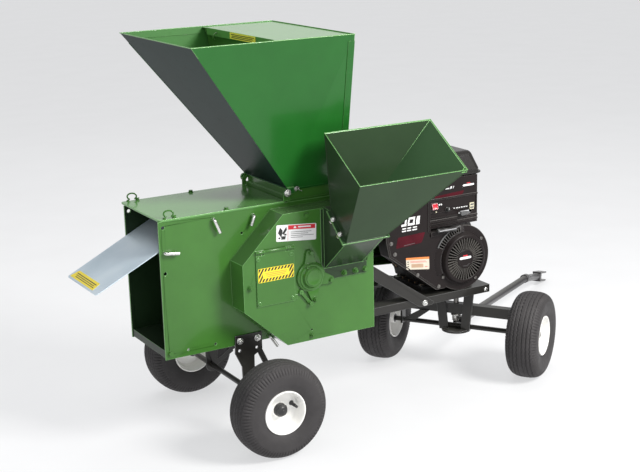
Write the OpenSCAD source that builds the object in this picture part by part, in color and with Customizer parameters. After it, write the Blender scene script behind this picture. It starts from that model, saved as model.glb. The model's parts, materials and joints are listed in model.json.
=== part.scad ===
// Towable wood chipper and shredder with a steered four-wheel undercarriage.
// +X runs along the machine towards the drawbar, +Y to the far (drive belt)
// side and +Z up. The tyres stand on Z = 0. All sizes are millimetres.

/* [Mill body] */
// Length of the mill side plates
mill_len = 760; // [740:1:790]
// Width over both side plates
mill_w = 287; // [280:1:300]
// Height of the underside of the top cover
mill_top = 801; // [795:1:830]
// Height of the lower edge of the side plates
mill_bot = 332; // [326:1:336]
// Thickness of the side plates
plate_t = 6; // [4:0.5:8]

/* [Rotor] */
// Distance of the rotor axis from the discharge end
rotor_x = 505; // [500:1:510]
// Height of the rotor axis
rotor_z = 557; // [552:1:562]
// Radius of the rotor shaft
shaft_r = 20; // [15:0.5:22]
// Radius of the chipper disc
chip_r = 200; // [170:1:205]
// Pitch radius of the rotor pulley
pulley_r = 75; // [65:1:80]
// Distance of the hammer pivots from the rotor axis
hammer_pitch = 95; // [88:1:98]

/* [Chipper housing] */
// How far the chipper housing stands out from the near side plate
housing_d = 89; // [85:1:95]

/* [Hopper] */
// Height of the hopper rim
hopper_z = 1364; // [1200:1:1450]
// Rim edge over the discharge cover
rim_x0 = 82; // [60:1:200]
// Rim edge over the engine
rim_x1 = 669; // [640:1:700]
// Rim edge on the near side
rim_y0 = -139; // [-160:1:-60]
// Rim edge on the far side
rim_y1 = 426; // [360:1:440]

/* [Deflector] */
// Length of the deflector sheet from its hinge
defl_len = 456; // [300:1:500]
// Downward slope of the deflector sheet in degrees
defl_slope = 25.95; // [24:0.05:27]

/* [Wheels] */
// Radius of the tyres
tyre_r = 165; // [160:1:166]
// Width of the tyres
tyre_w = 124; // [100:1:130]
// Radius of the wheel rims
rim_r = 76.2; // [70:0.1:80]
// Radius of the wheel axles
axle_r = 9.5; // [8:0.5:10]
// Radial running clearance of the wheel bores
run_clear = 0.06; // [0.02:0.01:0.1]
// Half track of the fixed axle
track_fixed = 353; // [340:1:380]
// Half track of the steered axle
track_steer = 301; // [290:1:320]

/* [Steering] */
// Distance of the kingpin from the discharge end
king_x = 1285; // [1280:1:1300]
// Stored angle of the steered axle in degrees
steer_angle = 34.5; // [0:0.5:36]
// Radius of the hitch pin bore
hitch_r = 8.5; // [6:0.5:10]

/* [Engine] */
// Distance of the crankshaft from the discharge end
crank_x = 1205; // [1195:1:1210]
// Height of the crankshaft
crank_z = 486; // [484:1:492]
// Pitch radius of the engine pulley
drive_r = 60; // [50:1:62]

/* [Hidden] */
$fn = 48;
org_x = 1042.79; org_y = 261.95;      // centre of the footprint
mid_y = mill_w/2;
yf = mill_w - plate_t;               // inner face of the far plate
fix_x = 301;                         // fixed axle, along X
hd = housing_d;
r1 = [194, 784]; r2 = [341, 777]; r3 = [16, 698]; r4 = [386, 342];
rod_r = 6;
hz0 = 846.3;                         // underside of the hopper walls
hb = [476, 700, -5, 305];            // hopper base x0 x1 y0 y1
ht = [rim_x0, rim_x1, rim_y0, rim_y1];
hinge_x = 470; hinge_z = 836;
belt_y = [325, 341];
bracket_bolts = [[272, 346], [339, 346]];
bracket_spare = [[269, 312], [335, 312]];
side_holes = [[83, 353], [183, 353]];
bear_bolts = [[505, 641], [516, 475], [582, 533]];
inlet_bolts = [636, 682, 722];
foot_bolts = [[1089, 100], [1089, 250], [1321, 100], [1321, 250]];
brace_bolt = [1034, 342];
slant = atan2(95, 100);              // tilt of the chute flange
sp = [-138, 787];                    // upper edge of the chute flange, y z
cham = [[408, 787], [251, 635], [252, 473], [411, 328], [759, 328], [759, 787]];
cham_in = [[409.7, 783], [255, 633.3], [256, 474.8], [412.6, 332], [755, 332], [755, 783]];

green = [0.20, 0.45, 0.17];
black = [0.11, 0.11, 0.11];
steel = [0.62, 0.63, 0.65];
cream = [0.86, 0.84, 0.78];

// shapes drawn in the X Z plane and given a depth along Y
module xz(y0, h) translate([0, y0 + h, 0]) rotate([90, 0, 0]) linear_extrude(h) children();
// shapes drawn in the Y Z plane and given a depth along X
module yz(x0, h) translate([x0, 0, 0]) rotate([90, 0, 90]) linear_extrude(h) children();
// round bar along Y at x, z
module bar_y(x, z, r, y0, y1) translate([x, y0, z]) rotate([-90, 0, 0]) cylinder(r = r, h = y1 - y0);
// hexagon bolt with its head pointing out of a face, shank going in
module bolt(hr, hh, sr, sl) { cylinder(r = hr, h = hh, $fn = 6); if (sl > 0) translate([0, 0, -sl]) cylinder(r = sr, h = sl + 0.5); }
module bolt_near(x, y, z, hr = 9, hh = 6, sr = 5, sl = 12) translate([x, y, z]) rotate([90, 0, 0]) bolt(hr, hh, sr, sl);
module bolt_far(x, y, z, hr = 9, hh = 6, sr = 5, sl = 12) translate([x, y, z]) rotate([-90, 0, 0]) bolt(hr, hh, sr, sl);
module at(p) translate(p) children();
// rounded rectangle, exact
module rrect(x0, x1, y0, y1, r) {
  translate([x0 + r, y0]) square([x1 - x0 - 2*r, y1 - y0]);
  translate([x0, y0 + r]) square([x1 - x0, y1 - y0 - 2*r]);
  for (x = [x0 + r, x1 - r], y = [y0 + r, y1 - r]) translate([x, y]) circle(r = r, $fn = 32);
}
// flat bar between two points
module strap(a, b, w) {
  d = b - a; l = norm(d); n = [-d[1], d[0]]/l*w/2;
  polygon([a + n, b + n, b - n, a - n]);
}
// box whose base and rim are unequal rectangles [x0, x1, y0, y1]
module taper(b, t, z0, z1) polyhedron(
  points = [[b[0], b[2], z0], [b[1], b[2], z0], [b[1], b[3], z0], [b[0], b[3], z0],
            [t[0], t[2], z1], [t[1], t[2], z1], [t[1], t[3], z1], [t[0], t[3], z1]],
  faces = [[0, 1, 2, 3], [7, 6, 5, 4], [4, 5, 1, 0], [5, 6, 2, 1], [6, 7, 3, 2], [7, 4, 0, 3]]);
function lerp(a, b, t) = a + (b - a)*t;
function inset(q, w) = [q[0] + w, q[1] - w, q[2] + w, q[3] - w];
// local frame of the steered axle: x ahead, y along the axle
module steered() translate([king_x, mid_y, 0]) rotate([0, 0, steer_angle]) children();

module side_plate() difference() {
  xz(0, plate_t) difference() {
    translate([0, mill_bot]) square([mill_len, mill_top - mill_bot]);
    translate([rotor_x, rotor_z]) circle(r = 34, $fn = 64);
    for (p = [r1, r2, r3, r4]) translate(p) circle(r = rod_r + 0.06);
    for (z = [781, 627]) translate([r3[0], z]) circle(r = rod_r + 0.06);
    for (p = side_holes) translate(p) circle(r = 4.5);
    translate([298, 721]) circle(r = 4.5);
    for (p = bracket_bolts) translate(p) circle(r = 5.2);
    translate([18, 353]) circle(r = 4.2);
  }
}
module side_plate_near() color(green) side_plate();
module side_plate_far() color(green) translate([0, yf, 0]) side_plate();

module floor_plate() color(green) {
  translate([3, plate_t, 358]) cube([330, yf - plate_t, 4]);
  translate([3, plate_t, 336]) cube([4, yf - plate_t, 22]);
}

module scroll_plate() color(green) xz(plate_t, yf - plate_t) {
  difference() {
    translate([rotor_x, rotor_z]) circle(r = 222, $fn = 96);
    translate([rotor_x, rotor_z]) circle(r = 218, $fn = 96);
    translate([0, rotor_z]) square([900, 400]);
    translate([200, 300]) square([205, 300]);
  }
  translate([rotor_x + 218, rotor_z]) square([4, mill_top - rotor_z]);
}

module top_cover() color([0.55, 0.72, 0.50])
  translate([0, 0, mill_top]) linear_extrude(6) rrect(3, 472, -2, 321, 14);

module ring_pin() {
  translate([0, 0, 6]) cylinder(r = 5, h = 7);
  translate([-14, 0, 22]) rotate([90, 0, 25]) rotate_extrude($fn = 48) translate([11, 0]) circle(r = 2.2, $fn = 20);
  translate([-6, 0, 9]) cube([8, 4.4, 6], center = true);
}
module cover_ring_pins() color([0.35, 0.60, 0.30]) for (y = [9, 311]) translate([62, y, mill_top]) intersection() {
  ring_pin();
  translate([-60, -60, 6]) cube([120, 120, 60]);
}

module body_bolts() color(steel) {
  for (p = bracket_bolts) { bolt_near(p[0], -6, p[1], sl = 16); bolt_far(p[0], mill_w + 6, p[1], sl = 16); }
  bolt_near(18, 0, 353, 8, 5, 4, 6);
  bolt_far(18, mill_w, 353, 8, 5, 4, 6);
  for (p = [[250, 10], [262, 311]]) translate([p[0], p[1], mill_top + 6]) bolt(7, 5, 3, 0);
  for (p = bear_bolts) bolt_near(p[0], -hd, p[1], sl = 6);
  bolt_near(274, -hd, 555, 8, 5, 4, 6);
  bolt_near(506, -hd, 366, 6, 4, 3, 6);
  for (x = inlet_bolts) bolt_near(x, -hd - 4, 548, 7, 5, 4, 10);
  for (y = [-38, -98]) translate([0, sp[0], sp[1]]) rotate([slant, 0, 0]) {
    translate([552, y, 4]) bolt(7, 5, 4, 14);
    translate([723, y, -4]) mirror([0, 0, 1]) bolt(6.5, 5, 4, 8);
  }
  bolt_near(brace_bolt[0], -6, brace_bolt[1], 8, 6, 4, 14);
  bolt_far(brace_bolt[0], mill_w + 6, brace_bolt[1], 8, 6, 4, 14);
  bolt_near(1318, 0, 342, 6, 4, 3, 0);
  for (p = foot_bolts) translate([p[0], p[1], 372]) bolt(8, 6, 4.5, 20);
}

module door_knuckle(x0, x1) {
  translate([x0, -hd - 5.5, 672]) rotate([0, 90, 0]) cylinder(r = 5, h = x1 - x0);
  translate([x0, -hd - 5.5, 669]) cube([x1 - x0, 5.5, 8]);
}
module chipper_housing() color(green) {
  difference() {
    union() {
      xz(-hd, hd) polygon(cham);
      door_knuckle(299, 330);
      door_knuckle(412, 443);
      translate([299, -hd - 5.5, 672]) rotate([0, 90, 0]) cylinder(r = 2.5, h = 144);
      bar_y(466, 508, 4, -hd - 9, -hd + 1);
    }
    xz(-hd + 4, hd) polygon(cham_in);
    bar_y(rotor_x, rotor_z, 30, -hd - 1, -hd + 5);
    translate([313, -hd - 1, 498]) cube([116, 6, 152]);
    translate([566, -hd - 1, 580]) cube([143, 6, 196]);
    for (p = bear_bolts) bar_y(p[0], p[1], 5.2, -hd - 1, -hd + 5);
    bar_y(274, 555, 4.2, -hd - 1, -hd + 5);
    bar_y(505, 347, 3.2, -hd - 1, -hd + 5);
    bar_y(496, 771, 4.2, -hd - 1, -hd + 5);
    bar_y(506, 366, 3.5, -hd - 1, -hd + 5);
    for (x = inlet_bolts) bar_y(x, 548, 4.2, -hd - 1, -hd + 5);
  }
}

module flange_bearings() color([0.30, 0.55, 0.22]) {
  translate([rotor_x, -hd, rotor_z]) flange_bearing_body();
  translate([rotor_x, mill_w, rotor_z]) mirror([0, 1, 0]) flange_bearing_body();
}
// ring carrying the shaft, closed by the bore of the shaft with its clearance
module flange_bearing_body() rotate([90, 0, 0]) rotate_extrude($fn = 72)
  polygon([[shaft_r + 0.05, 0], [53, 0], [53, 8], [46, 11], [36, 12], [32, 22], [30, 24], [shaft_r + 0.05, 24]]);

module grate_screen() color(steel) difference() {
  union() {
    xz(plate_t + 1, yf - plate_t - 2) intersection() {
      difference() {
        translate([rotor_x, rotor_z]) circle(r = 211, $fn = 96);
        translate([rotor_x, rotor_z]) circle(r = 206, $fn = 96);
      }
      polygon([[rotor_x, rotor_z], [rotor_x + 300*cos(126), rotor_z + 300*sin(126)], [100, 900], [100, 300],
               [rotor_x + 300*cos(240), rotor_z + 300*sin(240)]]);
    }
    xz(plate_t + 1, yf - plate_t - 2) strap([385, 723], r2, 5);
    xz(plate_t + 1, yf - plate_t - 2) strap([403, 377], r4, 5);
    for (p = [r2, r4]) bar_y(p[0], p[1], 10, plate_t + 1, yf - 1);
  }
  for (p = [r2, r4]) bar_y(p[0], p[1], rod_r, 0, mill_w);
  for (a = [140:15:230], y = [38:53:250])
    translate([rotor_x, y, rotor_z]) rotate([0, -a, 0]) translate([195, 0, 0]) rotate([0, 90, 0]) cylinder(r = 16, h = 30, $fn = 32);
}

// round rod through both side plates with a bent grip outside
module l_rod(p, a, l = 56) {
  bar_y(p[0], p[1], rod_r, -14, mill_w + 8);
  translate([p[0], -14, p[1]]) sphere(r = rod_r + 0.3, $fn = 32);
  translate([p[0], -14, p[1]]) rotate([0, 90 - a, 0]) cylinder(r = rod_r, h = l);
}
module screen_rods() color(steel) { l_rod(r2, -112, 36); l_rod(r4, -57, 46); }
module deflector_hinge_rod() color(steel) l_rod(r1, -68, 50);
module deflector_rest_rod() color(steel) l_rod(r3, -8, 47);

// a point at distance s down the slanted flange plane and h above it
function on_slant(s, h) = [sp[0] + s*cos(slant) - h*sin(slant), sp[1] + s*sin(slant) + h*cos(slant)];
module chute_inlet() color(green) difference() {
  union() {
    for (x = [560, 711]) yz(x, 4) polygon([[-hd, 791], on_slant(-0.5, -2), on_slant(-134, -2), [-hd, 572]]);
    yz(560.5, 154) polygon([[-hd, 573], on_slant(-133, -2), on_slant(-129, -2), [-hd, 579]]);
    yz(560.5, 154) polygon([[-hd, 790], on_slant(-1, -2), on_slant(-5, -2), [-hd, 785]]);
    translate([548, -hd - 4, 534]) cube([182, 4, 42]);
    translate([548, -hd - 4, 570]) cube([12.5, 4, 215]);
    translate([714.5, -hd - 4, 570]) cube([12, 4, 215]);
    yz(545, 185) polygon([on_slant(-138, 0), on_slant(1, 0), on_slant(1, -4), on_slant(-138, -4)]);
  }
  yz(564, 147) polygon([on_slant(-128, 6), on_slant(-6, 6), on_slant(-6, -10), on_slant(-128, -10)]);
  translate([0, sp[0], sp[1]]) rotate([slant, 0, 0])
    for (x = [552, 723], y = [-38, -98]) translate([x, y, -10]) cylinder(r = 4.2, h = 20);
  for (x = inlet_bolts) bar_y(x, 548, 4.2, -hd - 9, -hd + 5);
  bar_y(rotor_x, rotor_z, 54, -hd - 5, -hd + 1);
  bar_y(bear_bolts[2][0], bear_bolts[2][1], 12, -hd - 5, -hd + 1);
}

// tapered chute: base loop on the flange, rim loop at the mouth
cb = [for (p = [[560, -134], [713, -134], [713, -6], [560, -6]])
  [p[0], sp[0] + p[1]*cos(slant) - 4*sin(slant), sp[1] + p[1]*sin(slant) + 4*cos(slant)]];
ct = [[560, -330, 904], [985, -330, 904], [985, -113, 1045], [560, -113, 1045]];
ib = [for (p = [[563, -131], [710, -131], [710, -9], [563, -9]])
  [p[0], sp[0] + p[1]*cos(slant) - 4*sin(slant), sp[1] + p[1]*sin(slant) + 4*cos(slant)]];
it = [[563, -326.6, 906], [981, -326.6, 906], [981, -115.6, 1043], [563, -115.6, 1043]];
module loft(b, t) polyhedron(points = concat(b, t),
  faces = [[0, 1, 2], [0, 2, 3], [6, 5, 4], [7, 6, 4], [4, 5, 1], [4, 1, 0], [5, 6, 2], [5, 2, 1],
           [6, 7, 3], [6, 3, 2], [7, 4, 0], [7, 0, 3]]);
module chipper_chute() color([0.25, 0.40, 0.22]) difference() {
  union() {
    loft(cb, ct);
    translate([0, sp[0], sp[1]]) rotate([slant, 0, 0]) translate([545, -138, 0]) cube([185, 138, 4]);
  }
  loft([for (i = [0:3]) lerp(ib[i], it[i], -0.06)], [for (i = [0:3]) lerp(ib[i], it[i], 1.05)]);
  translate([0, sp[0], sp[1]]) rotate([slant, 0, 0])
    for (x = [552, 723], y = [-38, -98]) translate([x, y, -10]) cylinder(r = 4.2, h = 14.3);
}

module hopper_neck() color(green) {
  difference() {
    union() {
      translate([474, 0, mill_top]) cube([252, 298, 4]);
      translate([480, 0, mill_top]) cube([242, 298, 41]);
      for (y = [-4, 298]) {
        translate([458, y, mill_top + 6]) cube([16, 4, hinge_z - mill_top - 6]);
        bar_y(hinge_x, hinge_z, 9, y, y + 4);
      }
      translate([474, -4, mill_top]) cube([8, 306, 20]);
    }
    translate([484, 6, mill_top - 1]) cube([234, 275, 50]);
  }
  bar_y(hinge_x, hinge_z, 5, -15, -2);
  bar_y(hinge_x, hinge_z, 8, -19, -15);
  bar_y(hinge_x, hinge_z, 5, 300, 315);
  bar_y(hinge_x, hinge_z, 8, 315, 319);
}

module hopper() color([0.25, 0.42, 0.24]) {
  difference() {
    taper(hb, ht, hz0, hopper_z);
    taper(inset(lerp(hb, ht, -0.02), 3), inset(lerp(hb, ht, 1.02), 3), lerp(hz0, hopper_z, -0.02), lerp(hz0, hopper_z, 1.02));
  }
  difference() {
    translate([480, -5, 842.5]) cube([242, 310, 4]);
    translate([490, 8, 840]) cube([207, 271, 10]);
  }
  for (y = [-13, 302.8 + 2.4]) difference() {
    union() {
      translate([hinge_x + 2, y, hinge_z - 4]) cube([24, 7.8, 22]);
      bar_y(hinge_x, hinge_z, 12, y, y + 7.8);
      if (y < 0) translate([480, y, 843]) cube([16, 8.4, 11]);
      else translate([480, y - 0.8, 843]) cube([16, 8.6, 11]);
    }
    bar_y(hinge_x, hinge_z, 5.06, y - 1, y + 10);
  }
}

pz = 1358;                            // underside of the hopper cover
pt = (pz - hz0)/(hopper_z - hz0);
pin_q = inset(lerp(hb, ht, pt), 3.2);
module hopper_cover() color([0.50, 0.70, 0.45]) {
  translate([388, pin_q[2], pz]) cube([pin_q[1] - 388, pin_q[3] - pin_q[2], 3]);
  translate([388, -100, 1337]) cube([3, 486, 25]);
  bar_y(400, 1347, 4, -124, 412);
  for (y = [-124, 408]) {
    translate([394, y, 1344]) cube([14, 4, 17]);
  }
}
module hopper_flap() color([0.25, 0.42, 0.24]) difference() {
  union() {
    bar_y(400, 1347, 7, -118, 404);
    yz(398, 4) polygon([[-118, 1342], [404, 1342], [372, 1170], [-76, 1170]]);
  }
  bar_y(400, 1347, 4.06, -130, 420);
}

module engine_platform() color(black) {
  difference() {
    union() {
      translate([766, 0, 355]) cube([570, mill_w, 5]);
      translate([766, 0, 330]) cube([570, 4, 25]);
      translate([766, mill_w - 4, 330]) cube([570, 4, 25]);
      translate([1332, 0, 330]) cube([4, mill_w, 25]);
      translate([761, -6, 332]) cube([5, mill_w + 12, 208]);
      // turntable bolster under the platform
      difference() {
        translate([king_x - 55, mid_y - 80, 328]) cube([106, 160, 27]);
        translate([king_x - 50, mid_y - 75, 327]) cube([96, 150, 28]);
      }
      translate([king_x - 70, mid_y - 85, 320]) cube([121, 170, 8]);
    }
    translate([king_x, mid_y, 300]) cylinder(r = 10, h = 70);
    for (p = foot_bolts) translate([p[0], p[1], 340]) cylinder(r = 4.7, h = 30);
    for (y = [-1, mill_w - 5]) bar_y(brace_bolt[0], brace_bolt[1], 4.2, y, y + 6);
    translate([820, 60, 340]) cube([180, mill_w - 120, 30]);
  }
}
module frame_braces() color(black) for (y = [-6, mill_w]) xz(y, 6) difference() {
  intersection() {
    strap([720, 556], [1062, 322], 44);
    translate([766, 330]) square([400, 300]);
  }
  translate(brace_bolt) circle(r = 4.2);
}
module kingpin() color(steel) translate([king_x, mid_y, 0]) {
  translate([0, 0, 184]) cylinder(r = 10, h = 171);
  translate([0, 0, 355 + 5]) cylinder(r = 15, h = 6, $fn = 6);
  translate([0, 0, 355]) cylinder(r = 10, h = 6);
  translate([0, 0, 192]) cylinder(r = 17, h = 20, $fn = 6);
  translate([0, 0, 212]) cylinder(r = 19, h = 4.4);
}

module bracket() difference() {
  union() {
    polygon([[255, 366], [356, 366], [356, 304], [325, 286], [323, 165], [279, 165], [276, 252], [252, 304]]);
    translate([fix_x, 165]) circle(r = 24);
    strap([343, 306], [388, 206], 20);
    strap([384, 208], [312, 166], 18);
  }
  translate([fix_x, 165]) circle(r = axle_r);
  for (p = concat(bracket_bolts, bracket_spare)) translate(p) circle(r = 5.2);
}
module axle_brackets() color(black) { xz(-6, 6) bracket(); xz(mill_w, 6) bracket(); }
module fixed_axle() color(black) bar_y(fix_x, 165, axle_r, mid_y - track_fixed - 16, mid_y + track_fixed + 16);

module engine_block() color([0.16, 0.16, 0.17]) difference() {
  union() {
    xz(66, 224) polygon([[1100, 372], [1300, 372], [1306, 420], [1306, 560], [1285, 613], [1109.8, 613.2], [1046.4, 477.2], [1090, 410]]);
    translate([1078, 80, 360]) cube([254, 190, 12]);
  }
  translate([king_x, mid_y, 359]) cylinder(r = 20, h = 9);
  bar_y(crank_x, crank_z, 12.76, 60, 300);
  for (p = foot_bolts) translate([p[0], p[1], 355]) cylinder(r = 4.7, h = 18);
}
module engine_cylinder() color([0.20, 0.20, 0.21])
  translate([crank_x, 0, crank_z]) rotate([0, 25, 0]) mirror([1, 0, 0]) {
    translate([140.1, 160, 0]) rotate([0, 90, 0]) cylinder(r = 45, h = 105);
    for (s = [146:11:236]) translate([s, 100, -66]) cube([4, 120, 132]);
    translate([245, 96, -58]) cube([40, 128, 116]);
    translate([285, 108, -42]) cube([28, 104, 84]);
  }

module blower_housing() color(black) difference() {
  union() {
    xz(0, 60) polygon([[1128, 380], [1090, 380], [884, 536], [870, 600], [872, 700], [900, 742], [1052, 752], [1062, 744], [1062, 600], [1190, 600], [1190, 440]]);
    bar_y(crank_x, crank_z, 124, 0, 60);
  }
  xz(4, 60) polygon([[1124, 384], [1091.5, 384], [887.6, 538], [874, 600.6], [876, 698.6], [902, 738.4], [1050, 748], [1058, 742], [1058, 596], [1180, 596], [1180, 440]]);
  bar_y(crank_x, crank_z, 120, 4, 64);
  bar_y(crank_x, crank_z, 98, -5, 10);
}
module recoil_cover() color(black) difference() {
  union() {
    bar_y(crank_x, crank_z, 108, -4, 0);
    translate([crank_x, -4, crank_z]) rotate([90, 0, 0]) cylinder(r1 = 96, r2 = 87, h = 20);
  }
  translate([crank_x, 1, crank_z]) rotate([90, 0, 0]) cylinder(r1 = 93, r2 = 84, h = 22);
  for (a = [0:12:359]) translate([crank_x, 0, crank_z]) rotate([0, a, 0]) translate([52, -30, -2]) cube([30, 20, 4]);
}
module control_panel() color(black) difference() {
  union() {
    translate([1066, 14, 611]) cube([219, 46, 179]);
    for (z = [622, 636, 716]) translate([1066, 11, z]) cube([219, 4, 7]);
  }
  translate([1070, 18, 605]) cube([211, 50, 181]);
  translate([1200, 0, 651]) cube([60, 30, 9]);
  translate([1077, 0, 682]) cube([27, 30, 25]);
}
module fuel_tank() color(black) difference() {
  union() {
    hull() {
      for (x = [962, 1282], y = [38, 250]) translate([x, y, 791]) cylinder(r = 20, h = 20, $fn = 32);
      for (x = [985, 1264], y = [60, 232]) translate([x, y, 852]) sphere(r = 24, $fn = 32);
    }
    hull() for (x = [960, 1286], y = [37, 252]) translate([x, y, 794]) cylinder(r = 24, h = 7, $fn = 32);
    translate([1040, 165, 860]) cylinder(r = 22, h = 26);
  }
  hull() {
    for (x = [962, 1282], y = [38, 250]) translate([x, y, 794]) cylinder(r = 17, h = 14, $fn = 32);
    for (x = [985, 1264], y = [60, 232]) translate([x, y, 852]) sphere(r = 21, $fn = 32);
  }
  translate([1040, 165, 850]) cylinder(r = 18, h = 40);
}
module fuel_cap() color(black) translate([1040, 165, 0]) difference() {
  union() {
    translate([0, 0, 881]) cylinder(r = 28, h = 16);
    for (a = [0:30:359]) rotate([0, 0, a]) translate([26, -2, 881]) cube([4, 4, 14]);
  }
  translate([0, 0, 880]) cylinder(r = 22.4, h = 6.4);
}
module muffler() color([0.28, 0.27, 0.26]) {
  difference() {
    translate([1090, 180, 614]) cube([175, 96, 120]);
    for (x = [1105:20:1250], z = [630:18:718]) translate([x, 270, z]) cube([12, 12, 8]);
  }
  translate([1265, 215, 700]) rotate([0, 90, 0]) cylinder(r = 14, h = 16);
}
module air_cleaner() color(black) {
  translate([905, 150, 660]) cube([130, 120, 100]);
  translate([912, 157, 760]) cube([116, 106, 30]);
}

module belt(y) difference() {
  translate([0, y + 12, 0]) rotate([90, 0, 0]) linear_extrude(12) hull() {
    translate([rotor_x, rotor_z]) circle(r = pulley_r, $fn = 72);
    translate([crank_x, crank_z]) circle(r = drive_r, $fn = 72);
  }
  translate([0, y + 13, 0]) rotate([90, 0, 0]) linear_extrude(14) hull() {
    translate([rotor_x, rotor_z]) circle(r = pulley_r - 8, $fn = 72);
    translate([crank_x, crank_z]) circle(r = drive_r - 8, $fn = 72);
  }
}
module drive_belts() color([0.08, 0.08, 0.08]) for (y = belt_y) belt(y);
module pulley(r, b, x, z) translate([x, 0, z]) rotate([-90, 0, 0]) rotate_extrude($fn = 96)
  polygon([[b, 320], [r + 1, 320], [r + 1, 324.5], [r - 8.5, 324.5], [r - 8.5, 337.5], [r + 1, 337.5], [r + 1, 340.5],
           [r - 8.5, 340.5], [r - 8.5, 353.5], [r + 1, 353.5], [r + 1, 358], [b, 358]]);
module belt_guard() color(green) {
  difference() {
    translate([0, 368, 0]) rotate([90, 0, 0]) linear_extrude(68) hull() {
      translate([rotor_x, rotor_z]) circle(r = 100, $fn = 72);
      translate([crank_x, crank_z]) circle(r = 86, $fn = 72);
    }
    translate([0, 365, 0]) rotate([90, 0, 0]) linear_extrude(68) hull() {
      translate([rotor_x, rotor_z]) circle(r = 97, $fn = 72);
      translate([crank_x, crank_z]) circle(r = 83, $fn = 72);
    }
  }
  for (a = [110, 180, 250]) bar_y(rotor_x + 88*cos(a), rotor_z + 88*sin(a), 7, mill_w, 366);
  for (a = [-60, 60]) bar_y(crank_x + 75*cos(a), crank_z + 75*sin(a), 6, 290, 366);
}

// outline of the deflector: x along the sheet, y across the machine
module defl_outline() {
  q = [[0, 9], [defl_len - 7, 14], [defl_len, 20], [defl_len, 265], [defl_len - 7, 271], [0, 278]];
  polygon(q);
}
module deflector() color([0.62, 0.70, 0.76]) difference() {
  union() {
    bar_y(r1[0], r1[1], 10, 9, 278);
    translate([r1[0], 0, r1[1]]) rotate([0, -defl_slope, 0]) mirror([1, 0, 0]) translate([0, 0, 7]) linear_extrude(3) defl_outline();
  }
  bar_y(r1[0], r1[1], rod_r + 0.06, 0, 300);
}

module access_door() color(green) difference() {
  union() {
    translate([299, -hd - 4.3, 484]) cube([144, 4, 176]);
    translate([330.4, -hd - 4.3, 650]) cube([81.2, 4, 20]);
    translate([440, -hd - 4.3, 488]) cube([12, 4, 16]);
    translate([330.4, -hd - 5.5, 672]) rotate([0, 90, 0]) cylinder(r = 5, h = 81.2);
    for (x = [307, 432], z = [496, 648]) bolt_near(x, -hd - 4.3, z, 6, 4, 3, 0);
  }
  translate([320, -hd - 5.5, 672]) rotate([0, 90, 0]) cylinder(r = 2.56, h = 110);
}
module door_latch() color(green) difference() {
  union() {
    bar_y(466, 508, 8, -hd - 8, -hd - 0.4);
    xz(-hd - 7, 5) strap([466, 508], [500, 464], 11);
    bar_y(500, 464, 7, -hd - 16, -hd - 2);
  }
  bar_y(466, 508, 4.06, -hd - 20, -hd + 1);
}

module rotor_shaft() color(steel) bar_y(rotor_x, rotor_z, shaft_r, -hd - 22, 362);
module rotor_discs() color(steel) difference() {
  union() {
    for (y = [22, 98, 174, 250]) bar_y(rotor_x, rotor_z, 125, y, y + 10);
    for (s = [-1, 1]) bar_y(rotor_x + s*hammer_pitch, rotor_z, 8, 18, 264);
    for (y = [32, 108, 184]) bar_y(rotor_x, rotor_z, 30, y, y + 66);
  }
  bar_y(rotor_x, rotor_z, shaft_r, 0, 290);
}
module hammer_row(s) color(steel)
  for (y = [46, 76, 122, 152, 198, 228]) xz(y, 8) difference() {
    union() {
      translate([rotor_x + s*hammer_pitch - 20, rotor_z - 92]) square([40, 92]);
      translate([rotor_x + s*hammer_pitch, rotor_z]) circle(r = 20);
    }
    translate([rotor_x + s*hammer_pitch, rotor_z]) circle(r = 8.06);
  }
module hammers_a() hammer_row(-1);
module hammers_b() hammer_row(1);
module chipper_disc() color(steel) difference() {
  bar_y(rotor_x, rotor_z, chip_r, -60, -38);
  bar_y(rotor_x, rotor_z, shaft_r, -70, -30);
}
module chipper_knives() color(steel) for (a = [0, 180])
  translate([rotor_x, 0, rotor_z]) rotate([0, a, 0]) translate([70, -68, -20]) cube([112, 8, 40]);
module rotor_pulley() color(black) pulley(pulley_r, shaft_r, rotor_x, rotor_z);

module crankshaft() color(steel) {
  bar_y(crank_x, crank_z, 12.7, 6, 362);
  bar_y(crank_x, crank_z, 60, 8, 22);
  bar_y(crank_x, crank_z, 92, 22, 54);
}
module engine_pulley() color(black) pulley(drive_r, 12.76, crank_x, crank_z);

// welded steered axle: beam, axle rod, turntable plate and drawbar ears
module steering_axle() color(black) steered() difference() {
  union() {
    difference() {
      translate([-15, -226, 217]) cube([30, 452, 41]);
      translate([-12, -230, 220]) cube([24, 460, 35]);
    }
    translate([0, 0, 217]) cylinder(r = 14, h = 41);
    for (y = [-226, 218]) translate([-18, y, 152]) cube([36, 8, 106]);
    rotate([90, 0, 90]) translate([0, 0, -23]) linear_extrude(8) {
      polygon([[79, 314], [41, 314], [25, 152], [61, 152]]);
      polygon([[-79, 314], [-41, 314], [-25, 152], [-61, 152]]);
      polygon([[212, 176], [160, 176], [104, 219], [142, 219]]);
    }
    translate([-40, -85, 312]) cube([80, 170, 7.7]);
    translate([0, 0, 148]) cylinder(r = 57, h = 8, $fn = 64);
    translate([0, 317, 165]) rotate([90, 0, 0]) cylinder(r = axle_r, h = 634);
    for (y = [-27, 19]) translate([40, y, 152]) cube([32, 8, 24]);
    for (y = [-27, 19]) translate([72, y, 166]) rotate([-90, 0, 0]) cylinder(r = 14, h = 8);
    translate([72, 31, 166]) rotate([90, 0, 0]) cylinder(r = 7, h = 62);
  }
  translate([0, 0, 205]) cylinder(r = 10.06, h = 120);
}
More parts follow.
